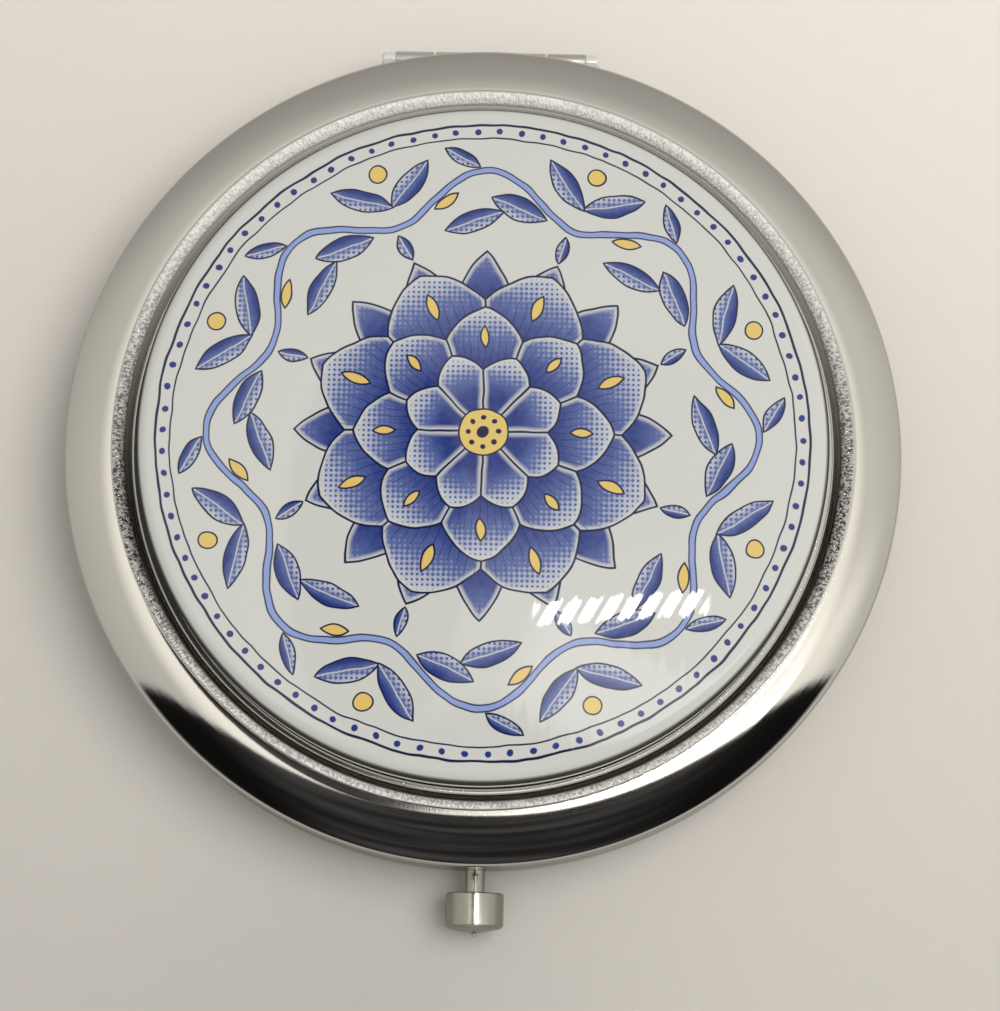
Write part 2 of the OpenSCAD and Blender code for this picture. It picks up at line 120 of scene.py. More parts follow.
class CaseSizes(bpy.types.PropertyGroup):
    """Sizes of the two stamped shells and the trays inside them."""
    sheet: length("Shell sheet", "Thickness of the sheet of both shells", 0.4 * MM)
    rim_width: length("Rim width", "From the crest of the rim to the outside of the case", 4.4 * MM)
    rim_slope: slope("Rim slope", "Slope of the domed rim where its outer bend starts", 34)
    edge_bend: length("Edge bend", "Radius of the bend between the rim and the upright skirt", 0.5 * MM)
    crest_bend: length("Crest bend", "Radius of the tight bend along the inner edge of the rim", 0.75 * MM)
    recess_depth: length("Recess depth", "Depth of the recess below the crest of the rim", 1.1 * MM)
    wall_slope: slope("Wall slope", "Slope of the wall of the recess", 48)
    corner: length("Corner", "Radius of the stamped corners of shells and trays", 0.4 * MM)
    groove_width: length("Groove width", "Width of the groove round the flat bottom", 0.6 * MM)
    groove_depth: length("Groove depth", "Depth of the groove from the rim of the base", 0.3 * MM)
    foot_slope: length("Foot slope", "Width of the slope from the groove to the flat bottom", 0.5 * MM)
    lip: length("Lip", "Rounding of the free edges of shells and trays", 0.08 * MM)
    tray_sheet: length("Tray sheet", "Thickness of the sheet of both trays", 0.33 * MM)
    well_gap: length("Well gap", "Gap between a mirror and the wall of its well", 0.15 * MM)
    turns: IntProperty(name="Steps round", description="Steps round each turned piece", default=320, min=64)


class DiscSizes(bpy.types.PropertyGroup):
    """Sizes and colours of the decorated disc."""
    shoulder: length("Shoulder", "Radius of the rounded shoulder of the disc", 1.1 * MM)
    crown: length("Crown", "Rise of the crown above the shoulder", 1.3 * MM)
    clear_band: length("Clear band", "Width of the grey edge outside the white field", 0.35 * MM)
    glaze: colour("Glaze", "Slightly grey white of the glaze", 198, 200, 196)
    edge_tint: colour("Edge tint", "Grey of the clear edge", 120, 122, 120)
    navy: colour("Navy", "Ink of the outlines", 24, 31, 68)
    cobalt: colour("Cobalt", "Deep blue of petals and leaves", 40, 56, 122)
    pale_blue: colour("Pale blue", "Thin wash of the blue", 136, 153, 204)
    gilt: colour("Gilt", "Golden yellow of the accents", 214, 186, 108)
    dot_pitch: length("Dot pitch", "Distance between the printed dots of the washes", 0.3 * MM)


class HingeSizes(bpy.types.PropertyGroup):
    """Sizes of the barrel hinge, its pin and the rivets."""
    sheet: length("Leaf sheet", "Thickness of the sheet of both leaves", 0.35 * MM)
    notch_clear: length("Notch clearance", "Clearance of shells and trays round the barrel", 0.25 * MM)
    knuckle_gap: length("Knuckle gap", "Gap between neighbouring knuckles", 0.15 * MM)
    edge: length("Edge", "Rounding of cut sheet edges", 0.1 * MM)
    cap_round: length("Cap rounding", "Rounding of the pressed ends of the pin", 0.3 * MM)
    head: length("Rivet head", "Radius of the rivet heads", 0.85 * MM)
    head_height: length("Rivet head height", "Height of the rivet heads", 0.15 * MM)
    play: length("Play", "Clearance of the rivets and the pin in their holes", 0.02 * MM)
    shank: length("Rivet shank", "Radius of the rivet shanks", 0.5 * MM)


class KnobSizes(bpy.types.PropertyGroup):
    """Sizes of the push knob, its stem, the catch and the spring."""
    stem: length("Stem", "Radius of the stem", 0.8 * MM)
    tail: length("Tail", "Radius of the tail inside the spring", 0.5 * MM)
    show: length("Stem shown", "Length of stem between the case and the knob", 1.85 * MM)
    head_length: length("Knob length", "Length of the round knob", 2.88 * MM)
    back_edge: length("Back edge", "Chamfer of the back edge of the knob", 0.1 * MM)
    front_edge: length("Front edge", "Chamfer of the front edge of the knob", 0.25 * MM)
    cone: length("Cone", "Height of the shallow cone on the knob", 0.37 * MM)
    pip: length("Pip", "Radius of the parting pip", 0.2 * MM)
    sheet: length("Catch sheet", "Thickness of the sheet of the hook and the catch plate", 0.4 * MM)
    window_clear: length("Window clearance", "Clearance of the hook in its window", 0.2 * MM)
    wire: length("Wire", "Radius of the spring's wire", 0.125 * MM)
    pitch: length("Spring pitch", "Distance between neighbouring turns of the spring", 0.7 * MM)
    hole_play: length("Hole play", "Clearance round the stem in the base", 0.08 * MM)


class StageLook(bpy.types.PropertyGroup):
    """The camera, the floor and the light."""
    distance: length("Camera distance", "Distance of the camera from the point that it aims at", 215 * MM)
    aim_x: FloatProperty(name="Aim X", description="The aimed point to the right", default=1.513 * MM,
                         unit="LENGTH")
    aim_y: FloatProperty(name="Aim Y", description="The aimed point to the back", default=-4.561 * MM,
                         unit="LENGTH")
    elevation: slope("Elevation", "Height of the camera above the horizon", 78)
    roll: slope("Roll", "Turn of the picture", 1.0235)
    lens: FloatProperty(name="Lens", description="Focal length in mm for a sensor 36 mm wide", default=91.9)
    floor: colour("Floor", "Warm pale colour of the table", 220, 216, 210)
    room: colour("Room", "Warm grey of the plain studio", 222, 219, 213)
    fill: FloatProperty(name="Fill", description="Power of the soft lamp in watts", default=4.8, unit="POWER")


# Numpy surfaces


def arc(centre, radius, start, stop, steps):
    """Arc in a section: the centre plus the radius at even angles, counted from the upright in radians."""
    angle = np.linspace(start, stop, steps)
    return np.stack([centre[0] + radius * np.sin(angle), centre[1] + radius * np.cos(angle)], 1)


def rounded(corners, radii, steps=10):
    """Line through corners, each replaced by an arc that touches both its legs if its radius isn't zero."""
    corners = np.asarray(corners, float)
    parts = [corners[:1]]
    for before, corner, after, radius in zip(corners, corners[1:], corners[2:], radii[1:]):
        if radius == 0:
            parts.append(corner[None])
            continue
        leg_in = (before - corner) / np.linalg.norm(before - corner)
        leg_out = (after - corner) / np.linalg.norm(after - corner)
        half = math.acos(np.clip(leg_in @ leg_out, -1, 1)) / 2
        centre = corner + (leg_in + leg_out) / np.linalg.norm(leg_in + leg_out) * radius / math.sin(half)
        first = corner + leg_in * radius / math.tan(half) - centre
        last = corner + leg_out * radius / math.tan(half) - centre
        spread = math.pi - 2 * half
        way = np.linspace(0, 1, steps)[:, None]
        swung = first * np.sin((1 - way) * spread) + last * np.sin(way * spread)
        parts.append(centre + swung / math.sin(spread))
    parts.append(corners[-1:])
    return np.concatenate(parts)


def sheet_outline(line, sheet, lip):
    """Section of a bent sheet: its face line, a rounded free end, and the line moved inwards by the sheet."""
    run = np.gradient(line, axis=0)
    run /= np.linalg.norm(run, axis=1)[:, None]
    inwards = np.stack([run[:, 1], -run[:, 0]], 1)
    angle = np.linspace(0, math.pi / 2, 6)[1:, None]
    end = line[-1] + run[-1] * lip * np.sin(angle)
    near = end + inwards[-1] * lip * (1 - np.cos(angle))
    far = end + inwards[-1] * (sheet - lip * (1 - np.cos(angle)))
    return np.concatenate([line, near, far[::-1], (line + inwards * sheet)[::-1]])


def mesh_object(name, points, quads, triangles=None):
    """A new object from arrays of points and faces, shaded smooth but for its crisp edges."""
    mesh = bpy.data.meshes.new(name)
    triangles = np.zeros((0, 3), int) if triangles is None else np.asarray(triangles, int)
    loops = np.concatenate([quads.ravel(), triangles.ravel()])
    starts = np.concatenate([np.arange(len(quads)) * 4, len(quads) * 4 + np.arange(len(triangles)) * 3])
    mesh.vertices.add(len(points))
    mesh.vertices.foreach_set("co", np.ascontiguousarray(points, np.float32).ravel())
    mesh.loops.add(len(loops))
    mesh.loops.foreach_set("vertex_index", loops.astype(np.int32))
    mesh.polygons.add(len(starts))
    mesh.polygons.foreach_set("loop_start", starts.astype(np.int32))
    mesh.update(calc_edges=True)
    mesh.validate()
    obj = bpy.data.objects.new(name, mesh)
    bpy.context.scene.collection.objects.link(obj)
    smooth(obj)
    return obj


def smooth(obj):
    """Shades an object smooth, with its sharp edges left crisp."""
    obj.data.shade_smooth()
    obj.data.set_sharp_from_angle(angle=CRISP_ANGLE)


def ring_quads(rings, steps, closed=False):
    """Faces between each ring of so many points and the next, and from the last to the first if closed."""
    i, j = np.meshgrid(np.arange(rings if closed else rings - 1), np.arange(steps), indexing="ij")
    after, beside = (i + 1) % rings, (j + 1) % steps
    quads = np.stack([i * steps + j, i * steps + beside, after * steps + beside, after * steps + j], -1)
    return quads.reshape(-1, 4)


def end_fans(rings, steps):
    """Triangles that close the first and the last ring, each to one of the two points after the rings."""
    j = np.arange(steps)
    beside, last, end = (j + 1) % steps, (rings - 1) * steps, rings * steps
    return np.concatenate([np.stack([np.full(steps, end), beside, j], -1),
                           np.stack([last + j, last + beside, np.full(steps, end + 1)], -1)])


def turned_arrays(outline, steps, axis="Z", centre=(0, 0, 0)):
    """Surface of revolution: each outline point goes round the axis, as (radius cos a, radius sin a, height)
    at angle a. An outline that starts and ends on the axis is closed there by one point each."""
    outline = np.asarray(outline, float)
    radius, height = outline.T
    if np.sum(radius * np.roll(height, -1) - np.roll(radius, -1) * height) < 0:
        outline = outline[::-1]
        radius, height = outline.T
    open_ends = radius[0] == 0 and radius[-1] == 0
    inner = slice(1, -1) if open_ends else slice(None)
    angle = np.arange(steps) * TURN / steps
    rings = np.stack([np.outer(radius[inner], np.cos(angle)), np.outer(radius[inner], np.sin(angle)),
                      np.repeat(height[inner, None], steps, 1)], -1)
    points = rings.reshape(-1, 3)
    triangles = np.zeros((0, 3), int)
    if open_ends:
        points = np.concatenate([points, [[0, 0, height[0]], [0, 0, height[-1]]]])
        triangles = end_fans(len(rings), steps)
    points = np.roll(points, {"Z": 0, "Y": -1, "X": 1}[axis], axis=-1) + np.array(centre)
    return points, ring_quads(len(rings), steps, not open_ends), triangles


def joined(parts):
    """Several sets of point, quad and triangle arrays as one set."""
    points, quads, triangles, offset = [], [], [], 0
    for part_points, part_quads, part_triangles in parts:
        points.append(part_points)
        quads.append(part_quads + offset)
        triangles.append(part_triangles + offset)
        offset += len(part_points)
    return np.concatenate(points), np.concatenate(quads), np.concatenate(triangles)


def turned(name, outline, steps, axis="Z", centre=(0, 0, 0)):
    """A piece that is one surface of revolution."""
    return mesh_object(name, *turned_arrays(outline, steps, axis, centre))


def extruded(name, outline, x_low, x_high):
    """A section in Y and Z carried along X, with flat ends."""
    outline = np.asarray(outline, float)
    y, z = outline.T
    if np.sum(y * np.roll(z, -1) - np.roll(y, -1) * z) < 0:
        outline = outline[::-1]
    count = len(outline)
    points = np.concatenate([np.insert(outline, 0, x, axis=1) for x in (x_low, x_high)])
    j = np.arange(count)
    beside = (j + 1) % count
    sides = np.stack([j, beside, beside + count, j + count], -1)
    mesh = bpy.data.meshes.new(name)
    ends = [j[::-1].tolist(), (j + count).tolist()]
    mesh.from_pydata(points.tolist(), [], sides.tolist() + ends)
    mesh.update()
    obj = bpy.data.objects.new(name, mesh)
    bpy.context.scene.collection.objects.link(obj)
    return obj


def box_cutter(low, high):
    """A box between two corners, for cutting."""
    low, high = np.array(low), np.array(high)
    outline = np.array([[low[1], low[2]], [high[1], low[2]], [high[1], high[2]], [low[1], high[2]]])
    return extruded("cutter", outline, low[0], high[0])


def round_cutter(centre, radius, low, high, axis="Z"):
    """A cylinder between two heights along an axis, for cutting."""
    outline = np.array([[0, low], [radius, low], [radius, high], [0, high]])
    return turned("cutter", outline, 64, axis, centre)


def cut_away(obj, *cutters):
    """Takes the cutters out of an object and keeps the cut mesh."""
    for cutter in cutters:
        modifier = obj.modifiers.new("cut", "BOOLEAN")
        modifier.operation = "DIFFERENCE"
        modifier.solver = "EXACT"
        modifier.object = cutter
    keep_result(obj)
    for cutter in cutters:
        mesh = cutter.data
        bpy.data.objects.remove(cutter)
        bpy.data.meshes.remove(mesh)
    smooth(obj)


def keep_result(obj):
    """Replaces an object's mesh by what its modifiers make of it."""
    bpy.context.view_layer.update()
    evaluated = obj.evaluated_get(bpy.context.evaluated_depsgraph_get())
    mesh = bpy.data.meshes.new_from_object(evaluated)
    old = obj.data
    obj.modifiers.clear()
    obj.data = mesh
    bpy.data.meshes.remove(old)
    mesh.name = obj.name


def ease_edges(obj, width):
    """Rounds the sharp edges of an object by a small bevel."""
    modifier = obj.modifiers.new("eased edges", "BEVEL")
    modifier.width = width
    modifier.segments = 2
    modifier.limit_method = "ANGLE"
    modifier.angle_limit = EASED_ANGLE
    keep_result(obj)
    smooth(obj)


def dressed(obj, body, slot_name, material, *nodes):
    """Gives a finished piece its body and its material, and hides the nodes that it stands for. The slot name
    is not used.
    """
    obj.data.materials.clear()
    obj.data.materials.append(material)
    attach(obj, body)
    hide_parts(*nodes)
    return obj


def refinished(node, material):
    """Gives a kept node its material."""
    obj = frame["nodes"][node]
    obj.data.materials.clear()
    obj.data.materials.append(material)


# Shader formulas


def one_step(operation, swapped=False):
    """A method of a field that adds one step to its formula."""
    def step(self, *others):
        return self.math(operation, *others, self) if swapped else self.math(operation, self, *others)
    return step


class Field:
    """A value at every point of a surface, written as a formula and worked out by shader nodes."""
    __add__, __radd__ = one_step("ADD"), one_step("ADD", True)
    __sub__, __rsub__ = one_step("SUBTRACT"), one_step("SUBTRACT", True)
    __mul__, __rmul__ = one_step("MULTIPLY"), one_step("MULTIPLY", True)
    __truediv__, __mod__ = one_step("DIVIDE"), one_step("FLOORED_MODULO")
    __abs__, root = one_step("ABSOLUTE"), one_step("SQRT")
    least, most = one_step("MINIMUM"), one_step("MAXIMUM")
    sine, cosine = one_step("SINE"), one_step("COSINE")

    def __init__(self, tree, socket):
        self.tree = tree
        self.socket = socket

    def math(self, operation, *values):
        """One step of a formula."""
        node = self.tree.nodes.new("ShaderNodeMath")
        node.operation = operation
        for place, value in zip(node.inputs, values):
            feed(self.tree, place, value)
        return Field(self.tree, node.outputs[0])

    def rise(self, start, stop):
        """Zero below start, one above stop and smooth between, or the other way round."""
        node = self.tree.nodes.new("ShaderNodeMapRange")
        node.interpolation_type = "SMOOTHSTEP"
        feed(self.tree, node.inputs["Value"], self)
        node.inputs["From Min"].default_value = min(start, stop)
        node.inputs["From Max"].default_value = max(start, stop)
        node.inputs["To Min"].default_value = 0 if start < stop else 1
        node.inputs["To Max"].default_value = 1 if start < stop else 0
        return Field(self.tree, node.outputs["Result"])


def feed(tree, place, value):
    """Links a field or a socket to an input, or writes a plain value there."""
    if isinstance(value, Field):
        tree.links.new(value.socket, place)
    elif isinstance(value, bpy.types.NodeSocket):
        tree.links.new(value, place)
    elif hasattr(value, "__len__") and len(value) == 3 and len(place.default_value) == 4:
        place.default_value = (*value, 1)
    else:
        place.default_value = value


def hypotenuse(a, b):
    """Length of a vector with the parts a and b."""
    return (a * a + b * b).root()


def parts_of(tree, socket):
    """The three parts of a vector as fields."""
    split = tree.nodes.new("ShaderNodeSeparateXYZ")
    tree.links.new(socket, split.inputs[0])
    return [Field(tree, part) for part in split.outputs]


def material_tree(name):
    """An empty material, its tree, and the place on the piece in mm, as a vector and as three fields."""
    material = bpy.data.materials.new(name)
    material.use_nodes = True
    tree = material.node_tree
    tree.nodes.clear()
    scale = tree.nodes.new("ShaderNodeVectorMath")
    scale.operation = "SCALE"
    tree.links.new(tree.nodes.new("ShaderNodeTexCoord").outputs["Object"], scale.inputs[0])
    scale.inputs["Scale"].default_value = 1 / MM
    return material, tree, scale.outputs[0], parts_of(tree, scale.outputs[0])


def vector(tree, x, y, z):
    """A vector from three values."""
    node = tree.nodes.new("ShaderNodeCombineXYZ")
    for place, value in zip(node.inputs, (x, y, z)):
        feed(tree, place, value)
    return node.outputs[0]


def noise(tree, place, scale, detail=2.0, roughness=0.5):
    """Fractal noise from 0 to 1 at a place, with so many swings to each unit."""
    node = tree.nodes.new("ShaderNodeTexNoise")
    feed(tree, node.inputs["Vector"], place)
    node.inputs["Scale"].default_value = scale
    node.inputs["Detail"].default_value = detail
    node.inputs["Roughness"].default_value = roughness
    return Field(tree, node.outputs["Fac"])


def blended(tree, factor, first, second):
    """The first colour where the factor is 0, and the second where it is 1."""
    node = tree.nodes.new("ShaderNodeMix")
    node.data_type = "RGBA"
    node.clamp_factor = True
    feed(tree, node.inputs[0], factor)
    feed(tree, node.inputs[6], first)
    feed(tree, node.inputs[7], second)
    return node.outputs[2]


def bumped(tree, height, distance, strength=1.0):
    """A normal that follows a height, where a height of 1 is a distance in metres."""
    node = tree.nodes.new("ShaderNodeBump")
    feed(tree, node.inputs["Height"], height)
    node.inputs["Distance"].default_value = distance
    node.inputs["Strength"].default_value = strength
    return node.outputs["Normal"]


def finished(material, **values):
    """Ends a material's tree in a Principled shader with values on its named sockets, and gives it back."""
    tree = material.node_tree
    shader = tree.nodes.new("ShaderNodeBsdfPrincipled")
    for name, value in values.items():
        feed(tree, shader.inputs[name.replace("_", " ")], value)
    output = tree.nodes.new("ShaderNodeOutputMaterial")
    tree.links.new(shader.outputs[0], output.inputs["Surface"])
    return material


def ring_distance(place):
    """Distance from the middle of the case, for a point split into fields."""
    return hypotenuse(place[0], place[1])


def polished_case(name, crest, foot):
    """Mirror polish with a faint drawn roughness. The press crinkles the tight bend of the lid into fine
    ticks, which glitter partly by their bumps and partly by painted glints. The bend's colour is painted
    light: painted glints on the ticks, with painted shade between them at the left and the right and a pale
    painted sheen between them towards the back and the front. The bend is more satin towards the back and the
    front, and the wall inside it towards the back."""
    material, tree, point, place = material_tree(name)
    radius = ring_distance(place)
    turn = place[1].math("ARCTAN2", place[1], place[0])
    back, front = place[1].rise(-8.0, 22.0), place[1].rise(-8.0, -24.0)
    # The wall of the recess with the bend above it, and the bend alone, both only on the lid
    wall = (radius + front * 0.3).rise(crest + 0.3, crest + 0.02) * radius.rise(foot - 0.1, foot + 0.1)
    wall = wall * place[2].rise(PARTING / MM, PARTING / MM + 0.5)
    bend = wall * radius.rise(foot + 0.4, foot + 0.65)
    drawn = noise(tree, vector(tree, turn * 260, radius * 3, 0), 1.0, 3)
    ticks = noise(tree, vector(tree, turn * 170, radius * 3.0, place[2] * 3.0), 1.0, 3, 0.65)
    haze = noise(tree, point, 0.12, 3)
    # Satin areas are part metal, part paint, so that they stay pale whatever they mirror
    satin = wall * back * 0.5 + bend * (0.05 + back * 0.3 + front * 0.75)
    roughness = 0.035 + drawn * 0.03 + haze * 0.03 + wall * 0.1
    height = drawn * 0.1 + bend * ticks * 18.0
    tint = blended(tree, haze, from_screen(232, 229, 222), from_screen(226, 223, 215))
    # Painted glints: white on the ticks of the bend
    painted_glint_mask = ticks.rise(0.4, 0.56)
    # Painted shade between the ticks at the left and the right, and a pale painted sheen between them towards
    # the back and the front
    hollow = blended(tree, back.most(front * 0.7), from_screen(52, 50, 45), from_screen(216, 215, 211))
    painted_sparkle = blended(tree, painted_glint_mask, hollow, from_screen(252, 251, 248))
    tint = blended(tree, bend, tint, painted_sparkle)
    return finished(material, Base_Color=tint, Metallic=1 - satin, Roughness=roughness,
                    Normal=bumped(tree, height, 0.02 * MM, 0.6))


def plated_sheet(name, red, green, blue, roughness, streak_axis="X", streaks=6.0):
    """Plated sheet metal with fine streaks along one axis and a slight unevenness of gloss."""
    material, tree, point, place = material_tree(name)
    stretch = {"X": (0.15, 1, 1), "Y": (1, 0.15, 1), "Z": (1, 1, 0.15)}[streak_axis]
    grain = noise(tree, vector(tree, *[p * s for p, s in zip(place, stretch)]), streaks, 4, 0.6)
    patches = noise(tree, point, 0.35, 3)
    dull = from_screen(red - 9, green - 9, blue - 10)
    tint = blended(tree, patches, from_screen(red, green, blue), dull)
    return finished(material, Base_Color=tint, Metallic=1.0,
                    Roughness=roughness + grain * 0.12 + patches * 0.05 - 0.06,
                    Normal=bumped(tree, grain, 0.01 * MM, 0.5))


def turned_metal(name, axis_place, red, green, blue, satin=0.0):
    """Lathe-turned metal: faint rings across the axis, with a little chatter that sparkles. Satin makes it
    paler and less like a mirror."""
    material, tree, point, place = material_tree(name)
    rings = noise(tree, vector(tree, place[axis_place] * 6, 0, 0), 1.0, 3, 0.7)
    chatter = noise(tree, point, 4.5, 3, 0.6)
    dull = from_screen(red - 14, green - 14, blue - 16)
    tint = blended(tree, chatter, from_screen(red, green, blue), dull)
    return finished(material, Base_Color=tint, Metallic=1 - satin,
                    Roughness=0.08 + rings * 0.06 + chatter * 0.06,
                    Normal=bumped(tree, rings * 0.1 + chatter, 0.025 * MM, 0.6))


def silvered_glass(name):
    """Silvered mirror glass: a clean reflection with the faint cold cast of the glass."""
    material, tree, point, _ = material_tree(name)
    dust = noise(tree, point, 0.5, 5, 0.6).rise(0.62, 0.78)
    return finished(material, Base_Color=from_screen(236, 241, 241), Metallic=1.0,
                    Roughness=0.012 + dust * 0.05, Coat_Weight=0.6, Coat_Roughness=0.02)


def foam_tape(name):
    """Dark closed cell foam: small pits on a matt ground."""
    material, tree, point, _ = material_tree(name)
    cells = tree.nodes.new("ShaderNodeTexVoronoi")
    feed(tree, cells.inputs["Vector"], point)
    cells.inputs["Scale"].default_value = 3.0
    pits = Field(tree, cells.outputs["Distance"])
    tint = blended(tree, pits, from_screen(58, 58, 58), from_screen(92, 92, 90))
    return finished(material, Base_Color=tint, Roughness=0.8 + pits * 0.15,
                    Normal=bumped(tree, pits, 0.08 * MM, 0.8))


def grey_board(name):
    """Grey-brown board with short fibres."""
    material, tree, point, place = material_tree(name)
    fibre = noise(tree, vector(tree, place[0], place[1] * 6, place[2]), 1.5, 6, 0.7)
    fleck = noise(tree, point, 4.0, 2).rise(0.6, 0.7)
    tint = blended(tree, fibre, from_screen(150, 134, 110), from_screen(184, 168, 142))
    tint = blended(tree, fleck * 0.5, tint, from_screen(120, 104, 84))
    return finished(material, Base_Color=tint, Roughness=0.85 + fibre * 0.1,
                    Normal=bumped(tree, fibre, 0.05 * MM, 0.6))


def cured_adhesive(name):
    """Cured adhesive: a cloudy cream layer with small bubbles."""
    material, tree, point, _ = material_tree(name)
    cloud = noise(tree, point, 0.6, 4)
    bubble = noise(tree, point, 3.5, 1).rise(0.68, 0.74)
    tint = blended(tree, cloud, from_screen(226, 219, 196), from_screen(238, 233, 214))
    return finished(material, Base_Color=tint, Roughness=0.35 + cloud * 0.15,
                    Normal=bumped(tree, bubble, 0.05 * MM, 0.8))


# The print of the disc


class Print:
    """The blue and white print, laid down motif by motif from formulas in the plane of the disc, in mm."""

    def __init__(self, tree, sizes, point, place):
        self.tree = tree
        for ink in ("glaze", "navy", "cobalt", "pale_blue", "gilt"):
            setattr(self, ink, tuple(getattr(sizes, ink)))
        wobble = noise(tree, point, 0.35, 1)
        waver = noise(tree, vector(tree, place[1], place[0], 7.0), 0.35, 1)
        self.x = place[0] + wobble * 0.5 - 0.25
        self.y = place[1] + waver * 0.5 - 0.25
        self.radius = hypotenuse(self.x, self.y)
        self.angle = self.y.math("ARCTAN2", self.y, self.x)
        self.ink = self.glaze
        pitch = sizes.dot_pitch / MM
        swings = math.pi / pitch / math.sqrt(2)
        across = (place[0] + place[1]) * swings
        along = (place[0] - place[1]) * swings
        self.dots = across.cosine() * along.cosine() * 0.5 + 0.5
        self.mottle = noise(tree, point, 1.6, 3)

    def lay(self, mask, ink):
        """Covers what is there with an ink where a mask is 1."""
        self.ink = blended(self.tree, mask, self.ink, ink)

    def sector(self, count, turn=0.0):
        """The point in the frame of one of so many equal sectors: out along its middle, and across it."""
        period = TURN / count
        within = (self.angle + (turn + period / 2)) % period - period / 2
        return self.radius * within.cosine(), self.radius * within.sine(), period / 2

    @staticmethod
    def leaf_distance(out, across, half_length, half_width):
        """Signed distance to a pointed leaf, the space that two equal circles share."""
        circle = (half_length ** 2 + half_width ** 2) / (2 * half_width)
        return hypotenuse(out, abs(across) + (circle - half_width)) - circle

    def wash(self, shade):
        """Blue wash: deep where the shade is 0 and thin where it is 1, broken up into printed dots."""
        shade = (shade + (self.mottle - 0.5) * 0.25).least(1).most(0)
        smooth_ink = blended(self.tree, shade, self.cobalt, self.pale_blue)
        dot = (self.dots - (shade * 0.95 + 0.02)).rise(-0.12, 0.12)
        dotted = blended(self.tree, dot, self.glaze, self.cobalt)
        return blended(self.tree, shade.rise(0.15, 0.85) * 0.72, smooth_ink, dotted)

    def petals(self, count, turn, middle, half_length, half_width, deep, pale, veins):
        """A ring of pointed petals, each stopped by its neighbours, washed from the base to a white rim."""
        out, across, half = self.sector(count, turn)
        leaf = self.leaf_distance(out - middle, across, half_length, half_width)
        edge = abs(across) * math.cos(half) - out * math.sin(half)
        distance = leaf.most(edge)
        inside = distance.rise(0.05, -0.05)
        tip_share = (out - (middle - half_length)) * (1 / (2 * half_length))
        shade = tip_share.rise(deep, pale)
        self.lay(inside, self.wash(shade))
        self.lay(inside * distance.rise(-0.55, -0.1) * 0.85, self.glaze)
        if veins:
            spread = across / (out * 0.055 + 0.2)
            vein = abs((spread * math.pi).sine()).rise(0.2, 0.06)
            self.lay(inside * vein * tip_share.rise(0.98, 0.55) * 0.8, self.navy)
        self.lay(abs(distance).rise(0.13, 0.05), self.navy)

    def leaf(self, out, across, at, lean, half_length, half_width, gilt=False):
        """One leaf of a sector at a place, leaning from the radius by an angle, with its midrib."""
        cos_lean, sin_lean = math.cos(lean), math.sin(lean)
        along = (out - at[0]) * cos_lean + (across - at[1]) * sin_lean
        side = (across - at[1]) * cos_lean - (out - at[0]) * sin_lean
        distance = self.leaf_distance(along, side, half_length, half_width)
        inside = distance.rise(0.04, -0.04)
        if gilt:
            self.lay(inside, self.gilt)
        else:
            self.lay(inside, self.wash((side * (0.5 / half_width) + 0.35).most(0)))
            self.lay(inside * abs(side).rise(0.09, 0.03) * 0.8, self.glaze)
        self.lay(abs(distance).rise(0.11, 0.04), self.navy)

    def disc_of(self, out, across, at, radius, ink, outline=True):
        """A round spot of an ink with a thin outline."""
        distance = hypotenuse(out - at[0], across - at[1]) - radius
        self.lay(distance.rise(0.04, -0.04), ink)
        if outline:
            self.lay(abs(distance).rise(0.1, 0.04), self.navy)

    def circle_line(self, at, half_width, ink):
        """A thin line all round at a radius."""
        self.lay(abs(self.radius - at).rise(half_width + 0.04, half_width - 0.04), ink)

    def vine(self, waves, middle, swing, half_width):
        """A waving stem round the disc: its radius is the middle plus the swing times the cosine of
        the waves."""
        phase = self.angle * waves
        steep = phase.sine() * (waves * swing / middle)
        distance = abs(self.radius - (phase.cosine() * swing + middle)) / (steep * steep + 1).root()
        self.lay(distance.rise(half_width + 0.05, half_width - 0.05), self.navy)
        self.lay(distance.rise(half_width - 0.07, half_width - 0.17), self.pale_blue)


